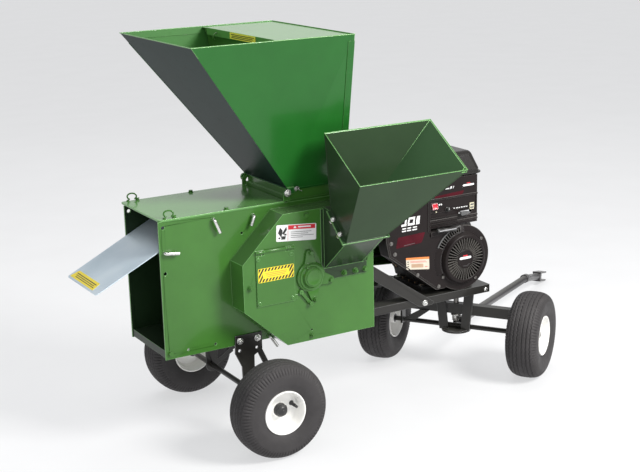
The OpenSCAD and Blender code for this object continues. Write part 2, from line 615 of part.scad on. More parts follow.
// drawbar lying with its fork just clear of the ground
dp0 = [72, 166]; dp1 = [938, 88]; dp2 = [1150, 38.5];
db_a1 = atan2(dp1[1] - dp0[1], dp1[0] - dp0[0]);
db_a2 = atan2(dp2[1] - dp1[1], dp2[0] - dp1[0]);
module drawbar() color(black) steered() difference() {
  union() {
    translate([dp0[0], 17, dp0[1]]) rotate([90, 0, 0]) cylinder(r = 16, h = 34);
    translate([dp0[0], 0, dp0[1]]) rotate([0, 90 - db_a1, 0]) cylinder(r = 16, h = norm(dp1 - dp0) - 2);
    translate([dp1[0], 0, dp1[1]]) rotate([0, 90 - (db_a1 + db_a2)/2, 0]) translate([0, 0, -19]) cylinder(r = 19.5, h = 38);
    translate([dp1[0], 0, dp1[1]]) rotate([0, 90 - db_a2, 0]) translate([0, 0, 2]) cylinder(r = 16, h = norm(dp2 - dp1) - 2);
    translate([dp2[0], 0, dp2[1]]) rotate([0, -db_a2, 0]) {
      translate([-24, -18, -15]) cube([24, 36, 32]);
      translate([-24, -20, 15]) cube([96, 40, 7]);
      translate([-24, -20, -22]) cube([96, 40, 7]);
    }
  }
  translate([dp0[0], 40, dp0[1]]) rotate([90, 0, 0]) cylinder(r = 7.06, h = 80);
  translate([dp2[0], 0, dp2[1]]) rotate([0, -db_a2, 0]) translate([50, 0, -30]) cylinder(r = hitch_r, h = 60);
}

// tyre and rim with their axle along Y and the outer face at +Y
tw = tyre_w/2;
tyre_out = [[rim_r, 50], [84, 54], [104, tw], [130, tw], [148, tw - 6], [158, tw - 16], [163, tw - 34], [tyre_r, tw - 52],
            [tyre_r, -tw + 52], [163, -tw + 34], [158, -tw + 16], [148, -tw + 6], [130, -tw], [104, -tw], [84, -54], [rim_r, -50]];
tyre_in = [[rim_r - 1, 38], [90, 44], [108, 52], [130, 52], [146, 44], [154, 24], [154, -24], [146, -44], [130, -52], [108, -52], [90, -44], [rim_r - 1, -38]];
module tyre() color([0.15, 0.14, 0.14]) rotate([-90, 0, 0]) rotate_extrude($fn = 96) difference() { polygon(tyre_out); polygon(tyre_in); }
module rim() color(cream) rotate([-90, 0, 0]) rotate_extrude($fn = 72) polygon(
  [[axle_r + run_clear, -46], [20, -46], [22, -10], [46, -6], [60, -20], [66, -50], [rim_r, -50], [rim_r, 50], [68, 50], [64, -6],
   [48, 6], [25, 2], [24, 26], [20, 33], [12, 36], [0, 36], [0, 20], [axle_r + run_clear, 20]]);
module wheel_at(p) {
  if (p == 0) translate([fix_x, mid_y - track_fixed, 165]) mirror([0, 1, 0]) children();
  if (p == 1) translate([fix_x, mid_y + track_fixed, 165]) children();
  if (p == 2) steered() translate([0, -track_steer, 165]) mirror([0, 1, 0]) children();
  if (p == 3) steered() translate([0, track_steer, 165]) children();
}

module starter_grip() color([0.10, 0.10, 0.10]) {
  translate([1078, -22, 612]) rotate([0, 90, 4]) cylinder(r = 8, h = 84);
  bar_y(1120, 612, 6, -24, -5);
}
module throttle_lever() color([0.30, 0.30, 0.30]) {
  translate([1206, 2, 653]) cube([8, 26, 5]);
  translate([1200, -6, 648]) cube([38, 10, 14]);
}
module engine_switch() color([0.65, 0.08, 0.08]) {
  translate([1078, 8, 683]) cube([25, 16, 23]);
}

module place() translate([-org_x, -org_y, 0]) children();

place() side_plate_near();
place() side_plate_far();
place() floor_plate();
place() scroll_plate();
place() top_cover();
place() cover_ring_pins();
place() body_bolts();
place() chipper_housing();
place() flange_bearings();
place() grate_screen();
place() screen_rods();
place() chute_inlet();
place() chipper_chute();
place() hopper_neck();
place() engine_platform();
place() frame_braces();
place() kingpin();
place() axle_brackets();
place() fixed_axle();
place() engine_block();
place() engine_cylinder();
place() blower_housing();
place() recoil_cover();
place() control_panel();
place() fuel_tank();
place() muffler();
place() air_cleaner();
place() drive_belts();
place() belt_guard();
place() deflector();
place() deflector_hinge_rod();
place() deflector_rest_rod();
place() access_door();
place() door_latch();
place() rotor_shaft();
place() rotor_discs();
place() hammers_a();
place() hammers_b();
place() chipper_disc();
place() chipper_knives();
place() rotor_pulley();
place() crankshaft();
place() engine_pulley();
place() hopper();
place() hopper_cover();
place() hopper_flap();
place() steering_axle();
place() drawbar();
place() wheel_at(0) tyre();  // tyre_near_fixed
place() wheel_at(0) rim();  // rim_near_fixed
place() wheel_at(1) tyre();  // tyre_far_fixed
place() wheel_at(1) rim();  // rim_far_fixed
place() wheel_at(2) tyre();  // tyre_near_steer
place() wheel_at(2) rim();  // rim_near_steer
place() wheel_at(3) tyre();  // tyre_far_steer
place() wheel_at(3) rim();  // rim_far_steer
place() starter_grip();
place() throttle_lever();
place() engine_switch();
place() fuel_cap();
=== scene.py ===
import bpy
import bmesh
import json
import math
from math import sin, cos, pi, radians
from mathutils import Vector, Matrix


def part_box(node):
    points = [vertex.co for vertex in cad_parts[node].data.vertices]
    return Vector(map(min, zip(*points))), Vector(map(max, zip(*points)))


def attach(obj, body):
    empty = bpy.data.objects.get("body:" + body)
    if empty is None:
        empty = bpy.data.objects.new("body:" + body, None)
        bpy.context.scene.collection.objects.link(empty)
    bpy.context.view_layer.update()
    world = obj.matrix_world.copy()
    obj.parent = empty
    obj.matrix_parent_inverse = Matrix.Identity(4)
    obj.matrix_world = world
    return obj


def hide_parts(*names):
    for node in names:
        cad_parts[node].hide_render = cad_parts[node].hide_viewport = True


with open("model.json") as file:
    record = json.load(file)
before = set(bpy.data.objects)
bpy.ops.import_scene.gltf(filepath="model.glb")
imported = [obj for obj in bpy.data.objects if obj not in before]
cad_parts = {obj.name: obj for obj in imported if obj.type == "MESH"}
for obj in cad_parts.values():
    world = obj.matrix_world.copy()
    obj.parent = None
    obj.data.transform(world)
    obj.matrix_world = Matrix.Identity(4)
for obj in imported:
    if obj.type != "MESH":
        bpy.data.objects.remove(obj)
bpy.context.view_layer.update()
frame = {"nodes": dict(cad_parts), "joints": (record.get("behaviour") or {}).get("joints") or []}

NODES = frame["nodes"]
lo0, hi0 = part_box("side_plate_near")
# the machine's own zero: discharge end, outer face of the near plate, ground
ORG = Vector((lo0[0], lo0[1], 0.0))


def P(x, y, z):
    """machine millimetres to row metres"""
    return Vector((x / 1000 + ORG.x, y / 1000 + ORG.y, z / 1000))


# ------------------------------------------------------------------ materials
def nd(nt, kind, **kw):
    n = nt.nodes.new(kind)
    for k, v in kw.items():
        setattr(n, k, v)
    return n


def new_mat(name):
    m = bpy.data.materials.new(name)
    m.use_nodes = True
    nt = m.node_tree
    return m, nt, nt.nodes["Principled BSDF"]


def coords(nt, scale=(1, 1, 1), rot=(0, 0, 0)):
    tc = nd(nt, "ShaderNodeTexCoord")
    mp = nd(nt, "ShaderNodeMapping")
    mp.inputs["Scale"].default_value = scale
    mp.inputs["Rotation"].default_value = rot
    nt.links.new(tc.outputs["Object"], mp.inputs["Vector"])
    return mp.outputs["Vector"]


def noise(nt, vec, scale, detail=4.0, rough=0.55):
    n = nd(nt, "ShaderNodeTexNoise")
    n.inputs["Scale"].default_value = scale
    n.inputs["Detail"].default_value = detail
    n.inputs["Roughness"].default_value = rough
    nt.links.new(vec, n.inputs["Vector"])
    return n.outputs["Fac"]


def ramp(nt, fac, stops):
    r = nd(nt, "ShaderNodeValToRGB")
    el = r.color_ramp.elements
    while len(el) < len(stops):
        el.new(0.5)
    for e, (p, c) in zip(el, stops):
        e.position = p
        e.color = (c[0], c[1], c[2], 1) if not isinstance(c, (int, float)) else (c, c, c, 1)
    nt.links.new(fac, r.inputs["Fac"])
    return r.outputs["Color"]


def mix(nt, fac, a, b, mode="MIX"):
    m = nd(nt, "ShaderNodeMix", data_type="RGBA", blend_type=mode)
    for sock, v in ((m.inputs[0], fac), (m.inputs[6], a), (m.inputs[7], b)):
        if isinstance(v, (int, float)):
            sock.default_value = v
        elif isinstance(v, (tuple, list)):
            sock.default_value = (v[0], v[1], v[2], 1)
        else:
            nt.links.new(v, sock)
    return m.outputs[2]


def math_n(nt, op, a, b=None, c=None):
    m = nd(nt, "ShaderNodeMath", operation=op)
    for i, v in enumerate((a, b, c)):
        if v is None:
            continue
        if isinstance(v, (int, float)):
            m.inputs[i].default_value = v
        else:
            nt.links.new(v, m.inputs[i])
    return m.outputs[0]


def bump(nt, bsdf, height, strength=0.1, distance=0.001, prev=None):
    b = nd(nt, "ShaderNodeBump")
    b.inputs["Strength"].default_value = strength
    b.inputs["Distance"].default_value = distance
    nt.links.new(height, b.inputs["Height"])
    if prev is not None:
        nt.links.new(prev, b.inputs["Normal"])
    nt.links.new(b.outputs["Normal"], bsdf.inputs["Normal"])
    return b.outputs["Normal"]


def up_mask(nt, lo=0.6, hi=0.98):
    g = nd(nt, "ShaderNodeNewGeometry")
    s = nd(nt, "ShaderNodeSeparateXYZ")
    nt.links.new(g.outputs["Normal"], s.inputs[0])
    mr = nd(nt, "ShaderNodeMapRange")
    mr.inputs["From Min"].default_value = lo
    mr.inputs["From Max"].default_value = hi
    nt.links.new(s.outputs["Z"], mr.inputs["Value"])
    return mr.outputs["Result"]


def paint(name, col, rough=0.2, coat=0.5, peel=0.05, vary=0.10, dust=0.12, ior=1.5, scuff=0.25, spec=0.5):
    """sprayed gloss enamel: cloudy tone, orange peel, dust on top faces, fine scuffs"""
    m, nt, b = new_mat(name)
    v = coords(nt)
    cloud = noise(nt, v, 5.0, 5, 0.6)
    dark = tuple(c * (1 - vary) for c in col)
    light = tuple(min(1, c * (1 + vary)) for c in col)
    base = ramp(nt, cloud, [(0.3, dark), (0.5, col), (0.7, light)])
    grime = noise(nt, v, 38.0, 8, 0.7)
    gm = ramp(nt, grime, [(0.56, 0.0), (0.75, 1.0)])
    base = mix(nt, math_n(nt, "MULTIPLY", gm, 0.35), base, tuple(c * 0.72 + 0.012 for c in col))
    du = math_n(nt, "MULTIPLY", up_mask(nt), dust)
    base = mix(nt, du, base, (0.42, 0.42, 0.38))
    nt.links.new(base, b.inputs["Base Color"])
    sc = noise(nt, coords(nt, (1.0, 0.12, 7.0), (0.3, 0.2, 0.5)), 120.0, 6, 0.75)
    scm = ramp(nt, sc, [(0.60, 0.0), (0.72, 1.0)])
    r = mix(nt, math_n(nt, "MULTIPLY", scm, scuff), (rough, rough, rough), (0.55, 0.55, 0.55))
    r = mix(nt, math_n(nt, "MULTIPLY", gm, 0.4), r, (rough + 0.2,) * 3)
    nt.links.new(r, b.inputs["Roughness"])
    b.inputs["Coat Weight"].default_value = coat
    b.inputs["Coat Roughness"].default_value = 0.07
    b.inputs["IOR"].default_value = ior
    b.inputs["Specular IOR Level"].default_value = spec
    n1 = bump(nt, b, noise(nt, v, 420.0, 2, 0.5), peel, 0.0006)
    bump(nt, b, scm, 0.04, 0.0002, n1)
    return m


def metal(name, col, rough=0.3, brush=(1, 1, 1), amount=0.3, vary=0.08, spots=0.2):
    m, nt, b = new_mat(name)
    v = coords(nt)
    g = noise(nt, coords(nt, brush), 90.0, 6, 0.65)
    base = ramp(nt, g, [(0.3, tuple(c * (1 - vary) for c in col)), (0.7, tuple(min(1, c * (1 + vary)) for c in col))])
    st = ramp(nt, noise(nt, v, 26.0, 6, 0.7), [(0.55, 0.0), (0.8, 1.0)])
    base = mix(nt, math_n(nt, "MULTIPLY", st, spots), base, tuple(c * 0.6 for c in col))
    nt.links.new(base, b.inputs["Base Color"])
    b.inputs["Metallic"].default_value = 0.95
    r = ramp(nt, g, [(0.25, max(0.05, rough - 0.1)), (0.8, min(1, rough + 0.14))])
    nt.links.new(r, b.inputs["Roughness"])
    bump(nt, b, g, amount, 0.00015)
    return m


def plastic(name, col, rough=0.45, grain=0.12, scale=900, vary=0.10, coat=0.0, spec=None, dust=0.10):
    m, nt, b = new_mat(name)
    v = coords(nt)
    c = noise(nt, v, 14.0, 5, 0.6)
    base = ramp(nt, c, [(0.3, tuple(x * (1 - vary) for x in col)), (0.7, tuple(min(1, x * (1 + vary)) for x in col))])
    du = math_n(nt, "MULTIPLY", up_mask(nt), dust)
    if spec is not None:
        b.inputs["Specular IOR Level"].default_value = spec
    base = mix(nt, du, base, (0.35, 0.34, 0.32))
    nt.links.new(base, b.inputs["Base Color"])
    r = ramp(nt, noise(nt, v, 60.0, 5, 0.6), [(0.3, rough - 0.08), (0.7, min(1, rough + 0.10))])
    nt.links.new(r, b.inputs["Roughness"])
    b.inputs["Coat Weight"].default_value = coat
    bump(nt, b, noise(nt, v, float(scale), 3, 0.6), grain, 0.0004)
    return m


def rubber(name, col=(0.047, 0.044, 0.045)):
    m, nt, b = new_mat(name)
    v = coords(nt)
    c = noise(nt, v, 9.0, 6, 0.65)
    base = ramp(nt, c, [(0.3, tuple(x * 0.82 for x in col)), (0.72, tuple(x * 1.22 for x in col))])
    sp = ramp(nt, noise(nt, v, 160.0, 5, 0.7), [(0.6, 0.0), (0.74, 1.0)])
    base = mix(nt, math_n(nt, "MULTIPLY", sp, 0.35), base, (0.13, 0.125, 0.12))
    nt.links.new(base, b.inputs["Base Color"])
    r = ramp(nt, noise(nt, v, 45.0, 5, 0.65), [(0.3, 0.50), (0.72, 0.72)])
    nt.links.new(r, b.inputs["Roughness"])
    b.inputs["Specular IOR Level"].default_value = 0.24
    n1 = bump(nt, b, noise(nt, v, 700.0, 3, 0.6), 0.14, 0.0004)
    bump(nt, b, c, 0.10, 0.001, n1)
    return m


def cast(name, col, rough=0.55):
    m, nt, b = new_mat(name)
    v = coords(nt)
    g = noise(nt, v, 260.0, 6, 0.7)
    base = ramp(nt, g, [(0.3, tuple(c * 0.75 for c in col)), (0.7, tuple(c * 1.25 for c in col))])
    nt.links.new(base, b.inputs["Base Color"])
    b.inputs["Metallic"].default_value = 0.55
    nt.links.new(ramp(nt, noise(nt, v, 30.0, 5, 0.6), [(0.3, rough - 0.1), (0.7, rough + 0.15)]), b.inputs["Roughness"])
    bump(nt, b, g, 0.35, 0.0007)
    return m


GREEN = (0.045, 0.150, 0.023)
M_GREEN = paint("green_enamel", GREEN, rough=0.22, coat=0.22, spec=0.32)
# lighter copy of the green paint for bevels, rolled edges and the chute's corner tab: painted highlight along the edges
M_EDGE_HILITE = paint("green_enamel_edge_highlight", (0.15, 0.36, 0.11), rough=0.24, coat=0.3, dust=0.0)
M_TOP = paint("green_enamel_cover", (0.105, 0.290, 0.070), rough=0.22, coat=0.42, dust=0.04)
M_CHUTE = paint("green_enamel_chute", (0.024, 0.048, 0.021), rough=0.20, coat=0.10, spec=0.20)
# brighter green copy of the chute paint for its inner right wall: painted light
M_CHIN = paint("green_enamel_chute_inside_lit", (0.012, 0.110, 0.014), rough=0.30, coat=0.0, spec=0.05)
# darker, dull copy of the chute paint for its inner far and left walls: painted shade
M_CHUTE_SHADE = paint("green_enamel_chute_back_shade", (0.014, 0.048, 0.014), rough=0.30, coat=0.0, spec=0.05)
# near-black grey-green copy of the hopper paint for its down-facing left wall: painted shade
M_HOPL_SHADE = paint("green_enamel_shaded", (0.014, 0.028, 0.025), rough=0.30, coat=0.0, spec=0.02, dust=0.0)
# near-black copy of the green paint for the mill's inside, the inward plate faces and the top cover's underside:
# painted shade
M_DARK = paint("green_enamel_mill_inside_shade", (0.010, 0.024, 0.009), rough=0.34, coat=0.05, spec=0.22, dust=0.02)
M_HOP = paint("green_enamel_hopper", (0.013, 0.110, 0.015), rough=0.20, coat=0.16, spec=0.26)
# lighter, dull copy of the hopper paint for its inner walls and hem: painted light, with the reflection turned down
M_HOPI_LIT = paint("green_enamel_hopper_inside_lit", (0.040, 0.150, 0.030), rough=0.42, coat=0.0, spec=0.10)
M_INNER = paint("green_enamel_inner", (0.045, 0.150, 0.030), rough=0.30, coat=0.3)
M_BLACK = paint("black_frame_enamel", (0.016, 0.015, 0.013), rough=0.30, coat=0.20, dust=0.06, vary=0.15, spec=0.35)
# grey copy of the black frame enamel for its bevels: painted highlight along the edges
M_BLACK_HILITE = paint("black_frame_edge_highlight", (0.10, 0.10, 0.10), rough=0.32, coat=0.35, dust=0.0)
M_TUBE = paint("drawbar_enamel", (0.030, 0.028, 0.030), rough=0.36, coat=0.25, dust=0.18, vary=0.2)
M_ZINC = metal("zinc_plate", (0.72, 0.72, 0.70), 0.24, (1, 1, 1), 0.15)
M_STEEL = metal("ground_steel", (0.60, 0.60, 0.61), 0.30, (1, 12, 1), 0.3)
M_DARKSTEEL = metal("dark_steel", (0.22, 0.21, 0.20), 0.42, (1, 1, 1), 0.3)
M_TYRE = rubber("tyre_rubber")
M_BELT = rubber("belt_rubber", (0.03, 0.03, 0.03))
M_RIM = paint("cream_rim_enamel", (0.94, 0.93, 0.90), rough=0.24, coat=0.4, vary=0.02, dust=0.0)
M_HUB = plastic("hub_cap_black", (0.025, 0.025, 0.026), 0.38, 0.08)
M_ENG = paint("engine_black", (0.013, 0.012, 0.011), rough=0.26, coat=0.18, peel=0.08, vary=0.12, dust=0.03, spec=0.30)
M_ENGP = plastic("engine_moulding", (0.014, 0.0105, 0.0105), 0.38, 0.14, 1100, spec=0.17, dust=0.03)
# lighter copy of the black moulding for its bevels and raised edges: painted highlight along the edges
M_ENGP_HILITE = plastic("engine_moulding_edge_highlight", (0.060, 0.055, 0.052), 0.36, 0.10, 1100, spec=0.5, dust=0.03)
# lighter grey copy of the black moulding for the recoil fins and guard ribs: painted highlight on the blades
M_FIN_HILITE = plastic("fan_guard_blades_highlight", (0.085, 0.078, 0.070), 0.28, 0.06, 900, spec=0.7, dust=0.0)
# near-black plate for the recesses behind the recoil fins and guard slots: painted shade
M_PIT_SHADE = plastic("engine_recess_shade", (0.006, 0.006, 0.006), 0.60, 0.05, spec=0.15, dust=0.0)
M_GRIP = plastic("grip_rubber", (0.030, 0.030, 0.030), 0.34, 0.10, 700, spec=0.6)
M_INK2 = plastic("cap_plastic", (0.020, 0.020, 0.020), 0.38, 0.10, 900)
M_SCREEN = metal("pressed_screen", (0.50, 0.50, 0.49), 0.32, (1, 1, 1), 0.3)
M_BRASS = metal("brass_plug", (0.62, 0.40, 0.22), 0.34, (1, 1, 1), 0.2)
M_CREAMP = plastic("cream_decal", (0.62, 0.56, 0.46), 0.36, 0.02, vary=0.10)
M_TAN = plastic("tan_decal", (0.46, 0.30, 0.20), 0.36, 0.02, vary=0.15)
M_CAST = cast("engine_casting", (0.050, 0.048, 0.048))
M_MUFF = cast("muffler_steel", (0.16, 0.15, 0.14), 0.5)
M_RED = plastic("red_moulding", (0.55, 0.012, 0.03), 0.32, 0.05, coat=0.3)
M_CREAM = plastic("cream_moulding", (0.62, 0.58, 0.42), 0.4, 0.05)
# grey plastic for the throttle paddle, panel parts and printed lines; the same grey on the recoil guard's lip and
# bevels and on the arc under the recoil mark is painted highlight
M_GREY_AND_HILITE = plastic("grey_moulding_and_highlight", (0.11, 0.11, 0.112), 0.40, 0.08)
M_WHITE = plastic("white_decal", (0.80, 0.80, 0.80), 0.38, 0.02, vary=0.03)
M_MAROON = plastic("maroon_decal", (0.060, 0.005, 0.010), 0.42, 0.03, vary=0.30, spec=0.12, dust=0.0)
M_YELLOW = plastic("yellow_decal", (0.82, 0.66, 0.03), 0.34, 0.02, vary=0.05)
# brighter copy of the yellow decal for the strip on the shaded cover lip: painted light
M_YELLOW_LIT = plastic("yellow_strip_lit", (1.0, 0.90, 0.10), 0.34, 0.02, vary=0.03)
M_ORANGE = plastic("orange_decal", (0.75, 0.22, 0.05), 0.36, 0.02, vary=0.05)
M_INK = plastic("black_ink", (0.02, 0.02, 0.02), 0.40, 0.02)
M_REDINK = plastic("red_ink", (0.60, 0.02, 0.035), 0.36, 0.02, vary=0.05)
def sheet(name):
    """smooth galvanised sheet, hardly any relief: its cloudy blue-white tint is a painted sky reflection on the zinc"""
    m, nt, b = new_mat(name)
    v = coords(nt)
    c = noise(nt, v, 5.0, 3, 0.5)
    base = ramp(nt, c, [(0.3, (0.56, 0.68, 0.76)), (0.5, (0.66, 0.77, 0.85)), (0.7, (0.76, 0.86, 0.92))])
    st = ramp(nt, noise(nt, v, 30.0, 5, 0.6), [(0.58, 0.0), (0.8, 1.0)])
    base = mix(nt, math_n(nt, "MULTIPLY", st, 0.10), base, (0.50, 0.60, 0.68))
    nt.links.new(base, b.inputs["Base Color"])
    b.inputs["Metallic"].default_value = 0.45
    nt.links.new(ramp(nt, c, [(0.3, 0.30), (0.7, 0.36)]), b.inputs["Roughness"])
    bump(nt, b, c, 0.03, 0.0004)
    return m


M_SHEET_SKY = sheet("galvanised_sheet_sky_tint")

# ------------------------------------------------------------------ mesh tools


def link(o):
    bpy.context.scene.collection.objects.link(o)
    return o


def finish_piece(o, mats, body, slot=None, bevel=0.0, segs=2, smooth=30, angle=30):
    for m in (mats if isinstance(mats, (list, tuple)) else [mats]):
        o.data.materials.append(m)
    for p in o.data.polygons:
        p.use_smooth = True
    o.data.set_sharp_from_angle(angle=radians(smooth))
    if bevel > 0:
        b = o.modifiers.new("bevel", "BEVEL")
        b.width = bevel
        b.segments = segs
        b.limit_method = "ANGLE"
        b.angle_limit = radians(angle)
        b.harden_normals = True
        # bevel faces take the second material; where that is a lighter edge copy of the paint, it paints a highlight
        # along the edges
        if isinstance(mats, (list, tuple)) and len(mats) > 1:
            b.material = 1
    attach(o, body)
    return o


def mesh_obj(name, verts, faces, mats, body, slot=None, **kw):
    me = bpy.data.meshes.new(name)
    me.from_pydata([tuple(v) for v in verts], [], faces)
    bm = bmesh.new()
    bm.from_mesh(me)
    bmesh.ops.remove_doubles(bm, verts=bm.verts, dist=1e-6)
    bmesh.ops.recalc_face_normals(bm, faces=bm.faces)
    bm.to_mesh(me)
    bm.free()
    return finish_piece(link(bpy.data.objects.new(name, me)), mats, body, slot, **kw)


class Build:
    """collects solids in one mesh; coordinates are machine mm unless a matrix is given"""

    def __init__(self, mat=None):
        self.v, self.f, self.mi = [], [], []
        self.m = mat or (lambda x, y, z: P(x, y, z))

    def add(self, verts, faces, mi=0):
        k = len(self.v)
        self.v += [self.m(*v) for v in verts]
        self.f += [[i + k for i in f] for f in faces]
        self.mi += [mi] * len(faces)

    def box(self, a, b, mi=0):
        x0, y0, z0 = a
        x1, y1, z1 = b
        v = [(x, y, z) for z in (z0, z1) for y in (y0, y1) for x in (x0, x1)]
        self.add(v, [[0, 2, 3, 1], [4, 5, 7, 6], [0, 1, 5, 4], [2, 6, 7, 3], [0, 4, 6, 2], [1, 3, 7, 5]], mi)

    def prism(self, pts, h0, h1, axis="y", mi=0):
        """2-D outline swept along an axis; pts are the two other coordinates in X, Y, Z order"""
        n = len(pts)

        def w(p, h):
            return {"y": (p[0], h, p[1]), "x": (h, p[0], p[1]), "z": (p[0], p[1], h)}[axis]
        v = [w(p, h0) for p in pts] + [w(p, h1) for p in pts]
        f = [list(range(n))[::-1], list(range(n, 2 * n))]
        f += [[i, (i + 1) % n, (i + 1) % n + n, i + n] for i in range(n)]
        self.add(v, f, mi)

    def loft(self, rings, close=True, caps=True, mi=0):
        n = len(rings[0])
        v = [p for r in rings for p in r]
        f = []
        for k in range(len(rings) - 1):
            for i in range(n if close else n - 1):
                j = (i + 1) % n
                f.append([k * n + i, k * n + j, (k + 1) * n + j, (k + 1) * n + i])
        if caps:
            f.append(list(range(n))[::-1])
            f.append([(len(rings) - 1) * n + i for i in range(n)])
        self.add(v, f, mi)

    def turn(self, prof, c, axis=(0, 1, 0), n=48, mi=0, closed=False, up=None):
        """profile of (radius, height) turned about an axis through c"""
        ax = Vector(axis).normalized()
        u = Vector(up) if up else (Vector((1, 0, 0)) if abs(ax.x) < 0.9 else Vector((0, 0, 1)))
        u = (u - ax * u.dot(ax)).normalized()
        w = ax.cross(u)
        c = Vector(c)
        v, f, rows = [], [], []
        for r, h in prof:
            if r < 1e-6:
                v.append(tuple(c + ax * h))
                rows.append([len(v) - 1] * n)
            else:
                row = []
                for i in range(n):
                    a = 2 * pi * i / n
                    v.append(tuple(c + ax * h + (u * cos(a) + w * sin(a)) * r))
                    row.append(len(v) - 1)
                rows.append(row)
        m = len(rows)
        for k in range(m if closed else m - 1):
            a, b2 = rows[k], rows[(k + 1) % m]
            for i in range(n):
                j = (i + 1) % n
                q = []
                for t in (a[i], a[j], b2[j], b2[i]):
                    if t not in q:
                        q.append(t)
                if len(q) > 2:
                    f.append(q)
        if not closed:
            for row, rev in ((rows[0], True), (rows[-1], False)):
                if len(set(row)) > 2:
                    f.append(row[::-1] if rev else row)
        self.add(v, f, mi)

    def tube(self, pts, r, n=16, mi=0, caps=True):
        pts = [Vector(p) for p in pts]
        rings = []
        t0 = (pts[1] - pts[0]).normalized()
        u = t0.orthogonal().normalized()
        for i, p in enumerate(pts):
            t = (pts[min(i + 1, len(pts) - 1)] - pts[max(i - 1, 0)]).normalized()
            u = (u - t * u.dot(t)).normalized()
            w = t.cross(u)
            rr = r[i] if isinstance(r, (list, tuple)) else r
            rings.append([tuple(p + (u * cos(2 * pi * k / n) + w * sin(2 * pi * k / n)) * rr) for k in range(n)])
        self.loft(rings, True, caps, mi)

    def hexbolt(self, c, d, r=9, h=6, washer=13, wh=1.6, mi=0, nut=False, spin=0.0):
        """hexagon head with a chamfered crown on a round washer; d points out of the face"""
        d = Vector(d).normalized()
        c = Vector(c)
        self.turn([(washer * 0.5, 0), (washer, 0), (washer, wh * 0.7), (washer - 0.6, wh), (washer * 0.5, wh)], c, d, 28, mi)
        u = d.orthogonal().normalized()
        u = Matrix.Rotation(spin, 3, d) @ u
        w = d.cross(u)
        rings = []
        for rr, hh in ((r * 0.97, wh), (r, wh + 0.6), (r, wh + h * 0.82), (r * 0.86, wh + h)):
            rings.append([tuple(c + d * hh + (u * cos(k * pi / 3) + w * sin(k * pi / 3)) * rr) for k in range(6)])
        self.loft(rings, True, True, mi)
        if nut:
            self.turn([(r * 0.55, wh), (r * 0.55, wh + h + 4), (r * 0.42, wh + h + 5.5), (0, wh + h + 5.5)], c, d, 16, mi)

    def make(self, name, mats, body, slot=None, **kw):
        me = bpy.data.meshes.new(name)
        me.from_pydata([tuple(v) for v in self.v], [], self.f)
        for p, i in zip(me.polygons, self.mi):
            p.material_index = i
        bm = bmesh.new()
        bm.from_mesh(me)
        bmesh.ops.recalc_face_normals(bm, faces=bm.faces)
        bm.to_mesh(me)
        bm.free()
        return finish_piece(link(bpy.data.objects.new(name, me)), mats, body, slot, **kw)


def dress(node, mats, width=0.0009, angle=32, segs=2):
    """a CAD node keeps its shape; it gets its material and softened edges"""
    o = NODES[node]
    mats = mats if isinstance(mats, (list, tuple)) else [mats]
    o.data.materials.clear()
    for m in mats:
        o.data.materials.append(m)
    for p in o.data.polygons:
        p.material_index = 0
    w = o.modifiers.new("weld", "WELD")
    w.merge_threshold = 0.00002
    if width:
        b = o.modifiers.new("bevel", "BEVEL")
        b.width = width
        b.segments = segs
        b.limit_method = "ANGLE"
        b.angle_limit = radians(angle)
        b.use_clamp_overlap = False
        b.harden_normals = True
        # bevel faces take the second material, a lighter copy of the paint: painted highlight along the edges
        if len(mats) > 1:
            b.material = 1
    return o


def recolour_lit_shaded_faces(o, test, mat_):
    """gives the faces that pass the test (centre and normal in machine mm) a lighter or darker copy of the same paint,
    which paints light and shade onto those faces
    """
    o.data.materials.append(mat_)
    k = len(o.data.materials) - 1
    for p in o.data.polygons:
        c = o.matrix_world @ p.center
        n = (o.matrix_world.to_3x3() @ p.normal).normalized()
        if test((c - ORG) * 1000.0, n):
            p.material_index = k


def bez(a, b, c, n=8):
    a, b, c = Vector(a), Vector(b), Vector(c)
    return [tuple(a * (1 - t) ** 2 + b * 2 * t * (1 - t) + c * t * t) for t in (i / n for i in range(n + 1))]

J = {j["name"]: j for j in frame["joints"]}


def jpos(name):
    return Vector(J[name]["pos_m"])


# ------------------------------------------------------------------ CAD nodes that keep their shape
GE = [M_GREEN, M_EDGE_HILITE]
for n in ("side_plate_near", "side_plate_far", "chipper_housing", "access_door", "belt_guard"):
    dress(n, GE, 0.0010)
# floor and scroll plates inside the mill in the near-black copy of the paint: painted shade; the scroll plate's bevels
# keep the plain green
dress("floor_plate", [M_DARK, M_EDGE_HILITE], 0.0006)
dress("scroll_plate", [M_DARK, M_INNER], 0.0008)
dress("top_cover", [M_TOP, M_EDGE_HILITE], 0.0012)
dress("hopper_cover", [M_TOP, M_EDGE_HILITE], 0.0008)
dress("hopper", [M_HOP, M_EDGE_HILITE], 0.0011)
dress("hopper_flap", GE, 0.0006)
dress("hopper_neck", GE, 0.0010)
dress("chute_inlet", [M_CHUTE, M_EDGE_HILITE], 0.0010)
dress("chipper_chute", [M_CHUTE, M_EDGE_HILITE], 0.0011)
dress("door_latch", GE, 0.0006)
dress("grate_screen", M_DARKSTEEL, 0.0005)
for n in ("rotor_shaft", "rotor_discs", "hammers_a", "hammers_b", "chipper_disc", "chipper_knives", "crankshaft"):
    dress(n, M_STEEL, 0.0007)
for n in ("rotor_pulley", "engine_pulley"):
    dress(n, M_CAST, 0.0007)
dress("drive_belts", M_BELT, 0.0012)
for n in ("engine_platform", "frame_braces", "axle_brackets", "fixed_axle", "steering_axle"):
    dress(n, [M_BLACK, M_BLACK_HILITE], 0.0009)
dress("drawbar", M_TUBE, 0.0009)
dress("kingpin", M_DARKSTEEL, 0.0005)
dress("engine_block", M_CAST, 0.0015)
dress("engine_cylinder", M_CAST, 0.0010)
dress("deflector", M_SHEET_SKY, 0.0006)

bpy.context.view_layer.update()
